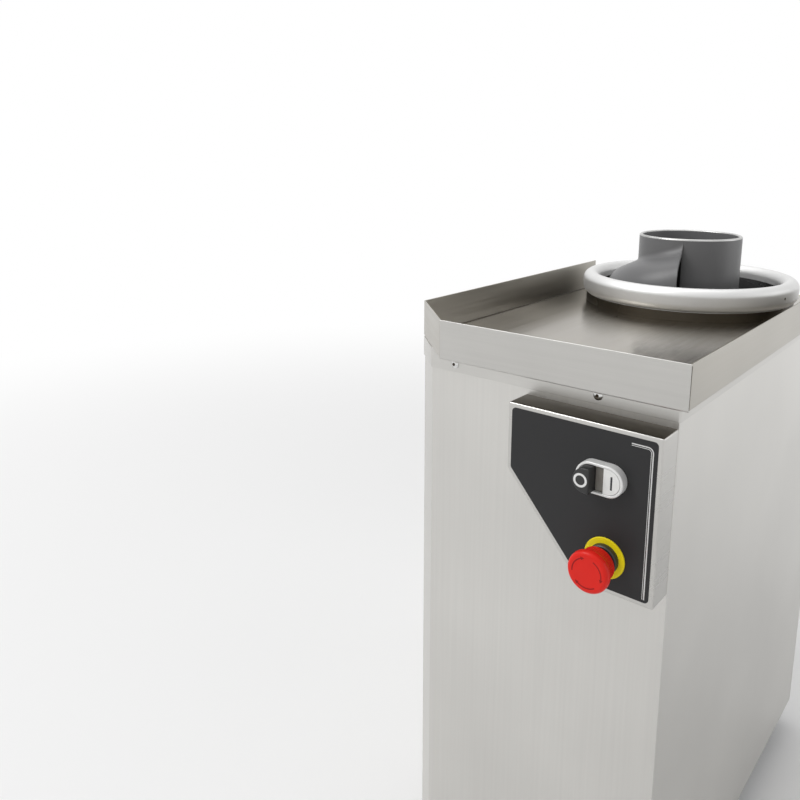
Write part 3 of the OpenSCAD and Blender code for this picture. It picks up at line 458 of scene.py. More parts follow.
def soft_cloud():
    """Slow change over a surface, such as rolled sheet shows: smooth noise, spread to fill 0 to 1."""
    tree, inp, out = group("Soft cloud", [("Scale", "Float")], [("Cloud", "Float")])
    coord, noise, spread = made(tree, "TexCoord", "TexNoise", "MapRange")
    dial(noise, Detail=2.0)
    dial(spread, From_Min=0.3, From_Max=0.7)
    join(tree, (coord, "Object", noise, "Vector"), (inp, "Scale", noise, "Scale"),
         (noise, "Fac", spread, "Value"), (spread, "Result", out, "Cloud"))
    return tree


EFFECTS = {}


def effect(kind):
    """The shared node group of that kind, built once."""
    if kind not in EFFECTS:
        if kind == "cloud":
            EFFECTS[kind] = soft_cloud()
        elif kind == "grain":
            EFFECTS[kind] = fine_relief("Brushed grain", detail=3.0, roughness=0.5, distance=0.0002)
        else:
            EFFECTS[kind] = fine_relief("Fine grit", detail=2.0, roughness=0.7, distance=0.0003)
    return EFFECTS[kind]


def finish(name, tint, rough, metal=0.0, cloud=(6.0, 0.06), rough_spread=0.05, grain=None, grit=None,
           gloss=0.5, top=None):
    """Material: a tint that drifts with the soft cloud, and brushed lines or fine grit in gloss and relief.

    cloud is scale and share of drift, grain is stretch and depth, grit is scale and depth, and gloss is the
    level of the mirror-like part on paint and plastic. top is painted shade: the tint of faces that look up,
    standing for the shadow and dark reflection on them.
    """
    mat = bpy.data.materials.new(name)
    mat.use_nodes = True
    tree = mat.node_tree
    shader = tree.nodes["Principled BSDF"]
    drift, mix, spread = made(tree, "Group", "Mix", "MapRange")
    dial(shader, Metallic=metal, Specular_IOR_Level=gloss)
    drift.node_tree = effect("cloud")
    scale, share = cloud
    dial(drift, Scale=scale)
    mix.data_type = "RGBA"
    dial(mix, A=(*[c * (1 - share) for c in tint], 1), B=(*[min(1.0, c * (1 + share)) for c in tint], 1))
    dial(spread, From_Min=0.25, From_Max=0.75, To_Min=rough - rough_spread, To_Max=rough + rough_spread)
    join(tree, (mix, "Result", shader, "Base Color"), (spread, "Result", shader, "Roughness"))
    if top:
        # Painted shade: faces that look up take the top tint, a shadow and dark reflection painted into the
        # colour
        face, parts, shaded_top_mask, film = made(tree, "NewGeometry", "SeparateXYZ", "MapRange", "Mix")
        dial(shaded_top_mask, From_Min=0.8, From_Max=0.98)
        film.data_type = "RGBA"
        dial(film, B=(*top, 1))
        join(tree, (face, "True Normal", parts, "Vector"), (parts, "Z", shaded_top_mask, "Value"),
             (shaded_top_mask, "Result", film, "Factor"), (mix, "Result", film, "A"),
             (film, "Result", shader, "Base Color"))
    if grain or grit:
        relief, = made(tree, "Group")
        relief.node_tree = effect("grain" if grain else "grit")
        stretch, depth = grain or ([grit[0]] * 3, grit[1])
        dial(relief, Stretch=stretch, Depth=depth)
        join(tree, (relief, "Normal", shader, "Normal"), (relief, "Height", spread, "Value"))
    else:
        join(tree, (drift, "Cloud", spread, "Value"))
    if grain:
        blend, = made(tree, "Mix")
        dial(blend, Factor=0.6)
        join(tree, (drift, "Cloud", blend, "A"), (relief, "Height", blend, "B"),
             (blend, "Result", mix, "Factor"))
    else:
        join(tree, (drift, "Cloud", mix, "Factor"))
    return mat


def recipes():
    """What finish needs for each look: the tints are linear, the grains are stretches along X, Y and Z."""
    scene = bpy.context.scene
    steel, coat = tuple(scene.rounder_sheet.steel), tuple(scene.rounder_auger.coat)
    alloy, switches = tuple(scene.rounder_bowl.alloy), scene.rounder_switches
    upright, level, lengthwise = (320, 320, 4), (5, 5, 320), (320, 5, 320)

    def shaded_steel(red, green=None, blue=None):
        """Painted shade and reflection: the stainless tint times a share, or a share for each of its three
        colours.
        """
        return tuple(np.multiply(steel, (red, green or red, blue or red)))

    return {
        "stainless": dict(tint=steel, rough=0.38, metal=1, cloud=(5, 0.09), grain=(upright, 0.06)),
        # Skirt: level grain of the rolled sheet, and a darker tint that is painted shade
        "skirt": dict(tint=shaded_steel(0.93), rough=0.36, metal=1, cloud=(7, 0.08), grain=(level, 0.08)),
        # Tray's front flange: darker than the cabinet's sheet, painted shade and reflection
        "tray_front": dict(tint=shaded_steel(0.86), rough=0.34, metal=1, cloud=(7, 0.12), rough_spread=0.06,
                           grain=(level, 0.08)),
        # Tray's side flanges: darker and warmer still, painted shade and painted reflection of the tray's
        # dark floor
        "tray_side": dict(tint=shaded_steel(0.70, 0.68, 0.64), rough=0.34, metal=1, cloud=(7, 0.10),
                          grain=(level, 0.05)),
        # Tray floor: a dark warm tint, painted reflection of the dough and wood around it
        "tray_floor": dict(tint=(0.36, 0.335, 0.295), rough=0.20, metal=1, cloud=(9, 0.12),
                           grain=(lengthwise, 0.08)),
        # Control box: a darker copy of the stainless and a dark tint on its top, both painted shade and
        # reflection under the tray
        "box_steel_shaded_top": dict(tint=shaded_steel(0.88), rough=0.30, metal=1, cloud=(8, 0.08), grain=(level, 0.03),
                          top=(0.13, 0.115, 0.092)),
        "galvanised": dict(tint=(0.50, 0.51, 0.52), rough=0.45, metal=1, cloud=(40, 0.12)),
        "bright_screws": dict(tint=(0.70, 0.70, 0.69), rough=0.25, metal=1),
        "bowl_alloy": dict(tint=alloy, rough=0.52, metal=1, cloud=(12, 0.03), grit=(900, 0.03)),
        # Bowl's inside: darkened alloy, painted shade and reflection of the dark interior
        "bowl_inside_painted_dark": dict(tint=(0.15, 0.15, 0.15), rough=0.26, metal=0.9, cloud=(12, 0.05)),
        # Painted shade: dark bronze for the shadow under the rim and in the tray's folds
        "painted_dark_shade": dict(tint=(0.085, 0.074, 0.058), rough=0.32, metal=1, cloud=(12, 0.08)),
        "auger_coat": dict(tint=coat, rough=0.40, cloud=(14, 0.08), grit=(800, 0.34)),
        # Lighter edge of the auger's mouth: worn coat, and a painted highlight on the lip
        "worn_edge_and_highlight": dict(tint=(0.50, 0.50, 0.49), rough=0.32, metal=0.7, cloud=(60, 0.15)),
        # Painted shade: near black for the shadowed cavity under the spiral's open end
        "painted_shade_hollow": dict(tint=(0.012, 0.012, 0.012), rough=0.8, cloud=(9, 0.06), gloss=0.1),
        # Painted shade for holes, sockets and the tray's seam
        "painted_shade_hole": dict(tint=(0.06, 0.045, 0.03), rough=0.6, cloud=(60, 0.15), gloss=0.2),
        "turned_alloy": dict(tint=(0.62, 0.63, 0.64), rough=0.30, metal=1),
        "ground_steel": dict(tint=(0.60, 0.61, 0.62), rough=0.25, metal=1),
        "cast_grey": dict(tint=(0.24, 0.25, 0.26), rough=0.5, metal=0.6, grit=(500, 0.3)),
        "motor_paint": dict(tint=(0.20, 0.23, 0.26), rough=0.4, grit=(600, 0.12)),
        "black_plastic": dict(tint=(0.03, 0.03, 0.03), rough=0.45, grit=(1500, 0.08)),
        "black_rubber": dict(tint=(0.03, 0.03, 0.03), rough=0.7, grit=(900, 0.15)),
        "label_black": dict(tint=tuple(switches.black), rough=0.55, grit=(2200, 0.10), gloss=0.25),
        "label_line": dict(tint=(0.72, 0.72, 0.71), rough=0.4, metal=0.3),
        "bezel_silver": dict(tint=(0.82, 0.82, 0.81), rough=0.32, metal=0.15, cloud=(30, 0.03)),
        "lens_grey": dict(tint=(0.24, 0.225, 0.20), rough=0.4, cloud=(60, 0.06)),
        "stop_black": dict(tint=(0.022, 0.022, 0.022), rough=0.35, grit=(2500, 0.06)),
        "start_white": dict(tint=(0.86, 0.86, 0.84), rough=0.35, cloud=(30, 0.02)),
        "sign_white": dict(tint=(0.82, 0.82, 0.81), rough=0.4, cloud=(30, 0.02)),
        "sign_black": dict(tint=(0.03, 0.03, 0.035), rough=0.4, cloud=(30, 0.02)),
        "stop_red": dict(tint=tuple(switches.red), rough=0.34, cloud=(25, 0.04), grit=(1800, 0.05),
                         gloss=0.2),
        # Arrows: darker red, painted shade of the grooves they are cut as
        "arrow_groove_shade": dict(tint=(0.34, 0.008, 0.008), rough=0.5, cloud=(25, 0.04), gloss=0.2),
        "stop_yellow": dict(tint=tuple(switches.yellow), rough=0.5, cloud=(25, 0.03), gloss=0.3),
        "stem_grey": dict(tint=(0.30, 0.30, 0.30), rough=0.4),
        "gear_grey": dict(tint=(0.55, 0.56, 0.56), rough=0.45),
        "terminal_beige": dict(tint=(0.55, 0.48, 0.36), rough=0.5),
    }


MATERIALS = {}


def material(look):
    """The finish of that look, made when it is first asked for."""
    if look not in MATERIALS:
        MATERIALS[look] = finish(look, **recipes()[look])
    return MATERIALS[look]


# Pieces

class OBJECT_OT_rounder_finishes(bpy.types.Operator):
    """Gives every node of the frame the finish of its slot"""
    bl_idname = "rounder.finishes"
    bl_label = "Finishes of the frame"

    def execute(self, context):
        for part in frame["record"]["subparts"]:
            mesh = frame["nodes"][part["node"]].data
            mesh.materials.clear()
            mesh.materials.append(material(part["material_slot"]))
        return {"FINISHED"}


class OBJECT_OT_rounder_cabinet(bpy.types.Operator):
    """Builds the folded panels of the cabinet, the deck with its skirt, and dark hexagons of painted shade
    in its screws' sockets
    """
    bl_idname = "rounder.cabinet"
    bl_label = "Cabinet"

    def execute(self, context):
        s = context.scene.rounder_sheet
        t = s.thickness
        lo, hi = span("front_panel")
        front = [(lo[0], hi[1]), (reach("front_panel", 1, -1, 0, -1), lo[1]), (hi[0], lo[1])]
        piece("front_panel_sheet", [band(front, strip(lo[2], hi[2], t), s.bend)], "cabinet", "stainless",
              node="front_panel", bevel=2 * s.edge)
        lo, hi = span("right_panel")
        rear, flange = hi[1] - t, strip(lo[2] + s.flange_low, hi[2] - s.flange_high, t)
        right = [band([(hi[0], lo[1] + t), (hi[0], rear)], strip(lo[2], hi[2], t)),
                 band([(hi[0] - t / 2, rear - t / 2), (hi[0] - s.rear_flange, rear - t / 2)], flange)]
        piece("right_panel_sheet", right, "cabinet", "stainless", node="right_panel", bevel=2 * s.edge)
        lo, hi = span("left_panel")
        left = [band([(lo[0], rear), (lo[0], lo[1])], strip(lo[2], hi[2], t)),
                band([(lo[0] + s.rear_flange, rear - t / 2), (lo[0] + t / 2, rear - t / 2)], flange)]
        piece("left_panel_sheet", left, "cabinet", "stainless", node="left_panel", bevel=s.edge)
        lo, hi = span("top_deck")
        outline, below = cut_outline("top_deck", 1), 0.0004
        skirt = band(outline, strip(lo[2], hi[2] - below, t), s.fold, 5, True)
        plate = plate_round(outline, middle("bowl")[:2], context.scene.rounder_bowl.inner + s.deck_room,
                            hi[2] - s.deck, hi[2], s.fold, t / 2)
        piece("top_deck_sheet", [skirt, plate], "cabinet", "stainless", "skirt", "top_deck", s.edge)
        # Dark hexagons on the deck screws' heads: painted shade of their sockets
        lo, hi = span("deck_screws")
        hexagon, depth = arc(0, 0, s.socket, 0, 5 * pi / 3, 6), 0.001
        z = middle("deck_screws")[2]
        sockets = [slab_y([hexagon + (x, z)] * 2, depths) for x in row("deck_screws", 0)
                   for depths in ((lo[1] + depth, lo[1] - SKIN), (hi[1] + SKIN, hi[1] - depth))]
        piece("deck_screw_socket_shade", sockets, "cabinet", "bright_screws", "painted_shade_hole")
        return {"FINISHED"}


class OBJECT_OT_rounder_tray(bpy.types.Operator):
    """Builds the tray: a floor round the bowl and folded flanges with an open seam at one corner, and dark
    skins of painted shade in its folds and in the seam
    """
    bl_idname = "rounder.tray"
    bl_label = "Tray"

    def execute(self, context):
        s, t = context.scene.rounder_sheet, context.scene.rounder_sheet.thickness
        lo, hi = span("tray")
        c, r = cut_outline("tray", 1), s.fold
        room, corner, slant = 0.001, 0.001, 0.4 * r
        inner = c + np.array([[-r, r], [-r, 0], [r, 0], [r, slant], [slant, r]])
        floor = plate_round(inner, middle("bowl")[:2], context.scene.rounder_bowl.shoulder + room, lo[2],
                            lo[2] + t, corner)
        piece("tray_floor_sheet", [floor], "cabinet", "stainless", "tray_floor", "tray")
        front_inside, rear_end = c[0][1] + t, reach("tray", 2, 1, 1, 1)
        start = front_inside + s.seam
        runs = [[c[4], c[0]], [(c[2][0], rear_end), c[3], c[4]], [(c[1][0], start), (c[1][0], rear_end)]]
        outer = arc(r, lo[2] + r, r, 1.5 * pi, pi, 6)
        inside = arc(r, lo[2] + r, r - t, pi, 1.5 * pi, 6)
        # A dark skin inside the folds: painted shade over the folds' highlight
        fold_shade_skin = np.concatenate([arc(r, lo[2] + r, r - t - FILM, pi, 1.5 * pi, 6), inside[::-1]])
        piece("tray_fold_shade", [band(run, fold_shade_skin, s.cut_bend, 3) for run in runs], "cabinet", "stainless",
              "painted_dark_shade")
        wall = np.concatenate([outer, [(0, hi[2]), (t, hi[2])], inside])
        front, left, right = [band(run, wall, s.cut_bend, 3) for run in runs]
        piece("tray_front_flange", [front], "cabinet", "stainless", "tray_front", bevel=s.edge)
        bridge = band([(c[1][0], front_inside), (c[1][0], start)], strip(hi[2] - s.seam_top, hi[2], t))
        piece("tray_side_flanges", [left, right, bridge], "cabinet", "stainless", "tray_side", bevel=s.edge)
        # A dark strip in the seam's gap: painted shade
        depth = 0.0004
        seam_shade = band([(c[1][0] - depth, front_inside), (c[1][0] - depth, start)],
                      strip(lo[2] + r, hi[2] - s.seam_top / 2, t - 2 * depth))
        piece("tray_seam_shade", [seam_shade], "cabinet", "stainless", "painted_shade_hole")
        return {"FINISHED"}


def about(centre, r, a, z):
    """Grid of points at the radius r, the heading a and the height z about an upright axis."""
    x, y = centre[0] + r * np.cos(a), centre[1] + r * np.sin(a)
    return np.stack(np.broadcast_arrays(x, y, z), 2)


def peg(centre, heading, height, reach_out, r=0.0016, depth=0.004):
    """Short round bar that points outwards from an upright axis: a circle carried along the heading."""
    out = np.array([np.cos(heading), np.sin(heading), 0.0])
    across, up = np.array([-out[1], out[0], 0.0]), np.array([0.0, 0.0, 1.0])
    a = np.linspace(0, 2 * pi, 25)[:-1, None]
    ring = centre + height * up + r * (np.cos(a) * across + np.sin(a) * up)
    return loft(np.stack([ring + (reach_out - depth) * out, ring + (reach_out + SKIN) * out]))


class OBJECT_OT_rounder_bowl(bpy.types.Operator):
    """Turns the bowl with its rounded rim, its inside darkened with painted shade and reflection, a dark
    ring of painted shade under the rim at the seat, and a dark peg of painted shade in the rim's hole
    """
    bl_idname = "rounder.bowl"
    bl_label = "Bowl"

    def execute(self, context):
        s = context.scene.rounder_bowl
        lo, hi = span("bowl")
        tray = span("tray")[0][2]
        top = lo[2] + s.floor
        half = s.rim_width / 2
        rim, crest = s.inner + half, hi[2] - half
        belly = hi[2] - s.rim_height + half
        tuck = acos((s.shoulder - rim) / half)
        low, corner, ledge = s.inner - s.fillet, top + s.fillet, 0.002
        profile = np.concatenate([
            [(s.bore, top)], arc(low, corner, s.fillet, -pi / 2, 0, 9),
            arc(rim, crest, half, pi, 0, 25), arc(rim, belly, half, 0, -tuck, 9),
            [(s.shoulder, tray + ledge), (s.shoulder, tray), (s.inner + s.wall, tray),
             (s.inner + s.wall, lo[2]), (s.bore, lo[2])]])
        centre, steps = np.array([*middle("bowl")[:2], 0.0]), 160
        piece("bowl_turned", [revolve(profile, centre, steps=steps)], "cabinet", "bowl_alloy", node="bowl")
        # A thin dark skin over the bowl's inside below the rim: painted shade and reflection
        end = crest - s.shade
        dark_inside_profile = np.concatenate([[(s.bore, top + FILM)], arc(low, corner, s.fillet - FILM, -pi / 2, 0, 9),
                                 [(s.inner - FILM, end), (s.inner, end)],
                                 arc(low, corner, s.fillet, 0, -pi / 2, 9), [(s.bore, top)]])
        piece("bowl_dark_inside_skin", [revolve(dark_inside_profile, centre, steps=steps)], "cabinet", "bowl_alloy", "bowl_inside_painted_dark")
        # A thin dark ring on the shoulder under the rim: painted shade of the bead's overhang and the dark
        # reflection below it
        out, thick, lift, clear = 0.0009, 0.0015, 0.0005, 0.0006
        seat, head = s.shoulder + out, belly - half * np.sin(tuck) - clear
        ring = [(seat - thick, tray + lift), (seat, tray + lift), (seat, head), (seat - thick, head)]
        piece("bowl_seat_shade_ring", [revolve(ring, centre, steps=steps)], "cabinet", "bowl_alloy", "painted_dark_shade")
        # A dark peg through the rim where the small hole is: painted shade inside the hole
        hole = peg(centre, s.hole, (crest + belly) / 2, s.inner + s.rim_width)
        piece("bowl_rim_hole_shade", [hole], "cabinet", "bowl_alloy", "painted_shade_hole")
        return {"FINISHED"}


def neck_with_port(s, centre, low, high, n=144, in_port=24):
    """Tube of the neck, its mouth rounded, with a rectangular port through its wall.

    The tube is a closed profile turned about the axis in n steps. The cells of its outer and inner wall
    between the port's edges are left out, and the edges are closed by strips from wall to wall.
    """
    half = asin(s.port_width / 2 / s.neck)
    a = s.port + np.concatenate([np.linspace(-half, half, in_port + 1),
                                 np.linspace(half, 2 * pi - half, n - in_port + 1)[1:-1]])
    bore, lip = s.neck - s.wall, s.wall / 2
    sill, head = low + s.port_low, low + s.port_high
    profile = np.concatenate([[(s.neck, low), (s.neck, sill), (s.neck, head)],
                              arc(s.neck - lip, high - lip, lip, 0, pi, 9),
                              [(bore, head), (bore, sill), (bore, low)]])
    m = len(profile)
    grid = about(centre, profile[:, :1], a, profile[:, 1:])
    keep = np.ones((m, n), bool)
    keep[[1, m - 3], :in_port] = False
    k = np.arange(in_port)
    ledges = [np.stack([o * n + k, o * n + k + 1, w * n + k + 1, w * n + k], 1)
              for o, w in ((1, m - 2), (2, m - 3))]
    jambs = [np.array([[n + q, 2 * n + q, (m - 3) * n + q, (m - 2) * n + q]]) for q in (0, in_port)]
    return grid.reshape(-1, 3), np.concatenate([cells(m, n, True)[keep]] + ledges + jambs).tolist()


def fall(s, k):
    """Fall of the spiral at share k of its turn: the pitch times a power of k."""
    return s.pitch * k ** s.haste


def spiral_section(s, out, fillet):
    """Section of the spiral wall in radius and height, from the neck to the lip and back under it.

    One side is a hollow arc that leaves the neck, a straight slope and a rounded shoulder that ends upright.
    The other side has the same arc centres and lies the wall's thickness under it. A half round closes the
    lip.
    """
    knee, hollow, root = out - s.shoulder, s.neck + fillet, s.neck - s.wall / 2
    drop = (knee - hollow) * tan(s.slope) + (fillet + s.shoulder) / cos(s.slope)

    def side(depth):
        """One side of the wall, at a depth under its back."""
        begin = pi + (acos((fillet + s.wall / 2) / (fillet + depth)) if depth else 0)
        return np.concatenate([arc(hollow, 0, fillet + depth, begin, 1.5 * pi - s.slope, 11),
                               arc(knee, -drop, s.shoulder - depth, pi / 2 - s.slope, 0, 13)])

    back, under, half = side(0), side(s.thickness), s.thickness / 2
    end = arc(out - half, -drop - s.lip + half, half, 0, -pi, 9)
    return np.concatenate([[(root, 0)], back, end, under[::-1], [(root, under[0, 1])]])


def spiral(s, centre, tray, out, sections=181, crowd=1.5, narrowing=0.25):
    """Spiral wall: a section carried once round the neck, turning clockwise and falling by the pitch.

    The sections crowd at the open end, where the hollow is wide, and it narrows over the first part of the
    turn. A section point (r, z) at share k of the turn goes to the heading seam - 2 pi k and to the height
    root + z less the fall.
    """
    k = np.linspace(0, 1, sections)[:, None] ** crowd
    a = s.seam - 2 * pi * k
    wide = np.clip(1 - k / narrowing, 0, 1) ** 2
    first, last = spiral_section(s, out, s.open_fillet), spiral_section(s, out, s.fillet)
    r, z = (wide * first[:, i] + (1 - wide) * last[:, i] for i in (0, 1))
    return loft(about(centre, r, a, tray + s.root + z - fall(s, k)))


def hollow_shade_patch(s, centre, low, tray, begin=0.0016, end=0.07, film=0.0003):
    """Patch of painted shade on the neck under the spiral's open end: a thin dark shell that ends where the
    spiral meets the neck.

    begin and end are shares of the spiral's turn.
    """
    k = np.linspace(begin, end, 20)[:, None]
    a = s.seam - 2 * pi * k
    top = tray + s.root - s.open_fillet / 2 - fall(s, k)
    r = s.neck + np.array([[0.0, film, film, 0.0]])
    z = np.concatenate([0 * k + low, 0 * k + low, top, top], 1)
    return loft(about(centre, r, a, z))


class OBJECT_OT_rounder_auger(bpy.types.Operator):
    """Builds the auger: a neck with a port, its floor, the spiral round it, a dark patch of painted shade
    under the spiral's open end and the lighter edge of its mouth, worn and with a painted highlight
    """
    bl_idname = "rounder.auger"
    bl_label = "Auger"

    def execute(self, context):
        s = context.scene.rounder_auger
        lo, hi = span("auger")
        tray = span("tray")[0][2]
        centre = np.array([*middle("bowl")[:2], 0.0])
        lip = s.wall / 2
        mid, top = s.neck - lip, lo[2] + s.floor
        floor = revolve([(s.boss, lo[2]), (mid, lo[2]), (mid, top), (s.boss, top)], centre)
        parts = [neck_with_port(s, centre, lo[2], hi[2]), floor,
                 spiral(s, centre, tray, half_width("auger") - s.inset)]
        piece("auger_cast", parts, "auger", "auger_coat", node="auger")
        # Painted shade in the cavity under the spiral's open end
        piece("auger_hollow_shade", [hollow_shade_patch(s, centre, top, tray)], "auger", "auger_coat", "painted_shade_hollow")
        # The mouth's rounded lip in a lighter finish: wear and a painted highlight
        end, over, under = radians(160), 0.00006, 0.0004
        edge = np.concatenate([arc(mid, hi[2] - lip, lip + over, 0, end, 17),
                               arc(mid, hi[2] - lip, lip - under, end, 0, 17)])
        piece("auger_worn_edge_and_highlight", [revolve(edge, centre, steps=144)], "auger", "auger_coat", "worn_edge_and_highlight")
        return {"FINISHED"}


class OBJECT_OT_rounder_control_box(bpy.types.Operator):
    """Builds the control box and its black label with a pale line along two edges"""
    bl_idname = "rounder.control_box"
    bl_label = "Control box"

    def execute(self, context):
        s = context.scene.rounder_switches
        lo, hi = span("control_box")
        c, r = cut_outline("control_box", 2), context.scene.rounder_sheet.box_round
        edge = [(0, hi[1]), *rounded_front(lo[1], r, 5)]
        shell = slab_y([offset_line(c, d, r) for d, _ in edge], [y for _, y in edge])
        piece("control_box_sheet", [shell], "cabinet", "stainless", "box_steel_shaded_top", "control_box")
        face_lo, face_hi = span("control_label")
        margin = face_lo[0] - lo[0]
        label = slab_y([offset_line(c, margin, s.label_round + margin, 6)] * 2, [face_hi[1], face_lo[1]])
        piece("control_label_plate", [label], "cabinet", "label_black", node="control_label")
        x, z, end = face_hi[0] - s.line_side, face_hi[2] - s.line_top, span("estop_disc")[0][2] - s.line_end
        path, thin = [(x, end), (x, z), (x - s.line_run, z)], 0.45
        lines = []
        for inset, width in ((0.0, s.line), (s.line + s.line_gap, s.line * thin)):
            sides = [offset_line(path, inset + w, s.line_round, 6, False) for w in (0, width)]
            loop = np.concatenate([sides[0], sides[1][::-1]])
            lines.append(slab_y([loop, loop], [face_lo[1] + SIGN_IN, face_lo[1] - SIGN_OUT]))
        piece("control_label_lines", lines, "cabinet", "label_black", "label_line")
        return {"FINISHED"}


class OBJECT_OT_rounder_push_button(bpy.types.Operator):
    """Builds the double push button: oval bezel, lens, raised stop button and flush start button"""
    bl_idname = "rounder.push_button"
    bl_label = "Push button"

    def execute(self, context):
        s = context.scene.rounder_switches
        lo, hi = span("switch_bezel")
        label = span("control_label")[0][1]
        at, r, e = middle("switch_bezel")[[0, 2]], 0.0013, 0.0004
        edge = [(0, label), *rounded_front(lo[1], r, 6), (s.wall - e, lo[1]), (s.wall, lo[1] + e),
                (s.wall, label - s.floor)]
        bezel = slab_y([at + oval(hi[0] - lo[0], hi[2] - lo[2], d) for d, _ in edge], [y for _, y in edge])
        piece("switch_bezel_moulded", [bezel], "cabinet", "bezel_silver", node="switch_bezel")
        lo, hi = span("switch_lens")
        c = [(hi[0], lo[2]), (hi[0], hi[2]), (lo[0], hi[2]), (lo[0], lo[2])]
        lens = slab_y([offset_line(c, d, e, 3) for d in (0, 0, e)], [hi[1], lo[1] + e, lo[1]])
        piece("switch_lens_moulded", [lens], "cabinet", "lens_grey", node="switch_lens")
        x, front = self.cap("stop_button", "stop_black", at, -1, 0.0011)
        ring, hole, aside = s.ring, s.ring - s.ring_width, 0.0002
        sign = revolve([(ring, SIGN_IN), (ring, -SIGN_OUT), (hole, -SIGN_OUT), (hole, SIGN_IN)],
                       (x + aside, front, at[1]), axis=1, steps=64)
        piece("stop_button_ring", [sign], "stop_button", "stop_black", "sign_white")
        x, front = self.cap("start_button", "start_white", at, 1, 0.0005)
        bar = np.array([(1, -1), (1, 1), (-1, 1), (-1, -1)]) * (s.bar_width / 2, s.bar / 2) + (x, at[1])
        corner = 0.0003
        sign = slab_y([offset_line(bar, 0, corner, 3)] * 2, [front + SIGN_IN, front - SIGN_OUT])
        piece("start_button_bar", [sign], "start_button", "start_white", "sign_black")
        return {"FINISHED"}

    def cap(self, name, slot, at, side, r):
        """Moulds a button, one end of an oval about the point at, and gives its middle and its face."""
        lo, hi = span(name)
        gap, far = sorted([abs(lo[0] - at[0]), abs(hi[0] - at[0])])
        edge = [(0, hi[1]), *rounded_front(lo[1], r, 5)]
        lines = [at + half_oval(2 * far, hi[2] - lo[2], gap, side, d) for d, _ in edge]
        piece(name + "_cap", [slab_y(lines, [y for _, y in edge])], name, slot, node=name)
        return (lo[0] + hi[0]) / 2, lo[1]


def turning_arrow(mid, start, sweep, half=0.00055, flare=0.0012, tip=0.16, blunt=0.02):
    """Outline of an arrow that follows an arc.

    Along the arrow its two edges keep half a width from the middle radius over the shaft, widen by the flare
    where the head begins and close in on the middle radius over the last share, the tip. The point keeps the
    share blunt of the head's width.
    """
    shaft_steps, head_steps = 14, 6
    share = np.concatenate([np.linspace(0, 1 - tip, shaft_steps), np.linspace(1 - tip, 1, head_steps)])
    wide = np.concatenate([np.full(shaft_steps, half), (half + flare) * np.linspace(1, blunt, head_steps)])
    a = start + sweep * share
    near, far = (np.stack([(mid + d) * np.cos(a), (mid + d) * np.sin(a)], 1) for d in (-wide, wide))
    return np.concatenate([near, far[::-1]])


class OBJECT_OT_rounder_emergency_stop(bpy.types.Operator):
    """Turns the emergency stop: yellow disc, black collar and red mushroom head with its arrows"""
    bl_idname = "rounder.emergency_stop"
    bl_label = "Emergency stop"

    def execute(self, context):
        s = context.scene.rounder_switches
        at, room = middle("estop_disc"), 0.0003
        lo, hi = span("estop_disc")
        face, r, t, e = lo[1], half_width("estop_disc"), hi[1] - lo[1], 0.0004
        bore = s.thread + room
        disc = revolve([(bore, t), (r, t), (r, e), (r - e, 0), (bore, 0)], (at[0], face, at[2]), 1)
        piece("estop_disc_moulded", [disc], "cabinet", "stop_yellow", node="estop_disc")
        lo, hi = span("estop_collar")
        r, bore, e = half_width("estop_collar"), half_width("estop_stem") + room, 0.001
        depth, long = face - lo[1], hi[1] - lo[1]
        collar = revolve([(bore, 0), (r - e, 0), (r, e), (r, depth), (s.thread, depth), (s.thread, long),
                          (bore, long)], (at[0], lo[1], at[2]), 1)
        piece("estop_collar_moulded", [collar], "cabinet", "black_plastic", node="estop_collar")
        lo, hi = span("estop_head")
        r, long, rear, rim = half_width("estop_head"), hi[1] - lo[1], s.head_rear, s.head_rim
        nose, lip, ease, taper, e = 0.004, 0.0012, (0.0006, 0.0036), 0.0046, 0.0008
        profile = np.concatenate([
            [(0, 0)], arc(r - nose, nose, nose, -pi / 2, 0, 12), arc(r - lip, rim - lip, lip, 0, pi / 3, 5),
            [(rear + ease[0], rim + ease[1]), (rear, rim + taper), (rear, long - e), (rear - e, long),
             (0, long)]])
        knurl, knurls = 0.0001, 48
        depth = np.where((profile[:, 0] > rear - 2 * knurl) & (profile[:, 1] > rim + lip), knurl, 0.0)
        head = revolve(profile, (at[0], lo[1], at[2]), 1, 4 * knurls, depth, knurls)
        piece("estop_head_moulded", [head], "estop_head", "stop_red", node="estop_head")
        # Flat darker marks for the arrows: painted shade of their grooves
        first, sweep, under, over = 66, 84, 0.0002, 0.00006
        shapes = [turning_arrow(s.arrow, radians(first - turn), -radians(sweep)) + at[[0, 2]]
                  for turn in range(0, 360, 120)]
        arrows = [slab_y([shape, shape], [lo[1] + under, lo[1] - over]) for shape in shapes]
        piece("estop_head_arrows", arrows, "estop_head", "stop_red", "arrow_groove_shade")
        return {"FINISHED"}


class OBJECT_OT_rounder_feet(bpy.types.Operator):
    """Turns the four rubber feet"""
    bl_idname = "rounder.feet"
    bl_label = "Feet"

    def execute(self, context):
        lo, hi = span("feet")
        r, e, taper = context.scene.rounder_sheet.foot, 0.002, 0.8
        profile = np.concatenate([[(0, 0)], arc(r - e, e, e, -pi / 2, 0, 6),
                                  [(r * taper, hi[2]), (0, hi[2])]])
        feet = [revolve(profile, (x, y, 0.0), steps=64)
                for x in (lo[0] + r, hi[0] - r) for y in (lo[1] + r, hi[1] - r)]
        piece("feet_rubber", feet, "cabinet", "black_rubber", node="feet")
        return {"FINISHED"}


# Studio

def shown_rays(tree):
    """Node that gives 1 for the rays that show the surroundings: camera, glossy and transmission rays."""
    path, seen, shown = made(tree, "LightPath", "Math", "Math")
    seen.operation = shown.operation = "MAXIMUM"
    join(tree, (path, "Is Camera Ray", seen, 0), (path, "Is Glossy Ray", seen, 1), (seen, 0, shown, 0),
         (path, "Is Transmission Ray", shown, 1))
    return shown


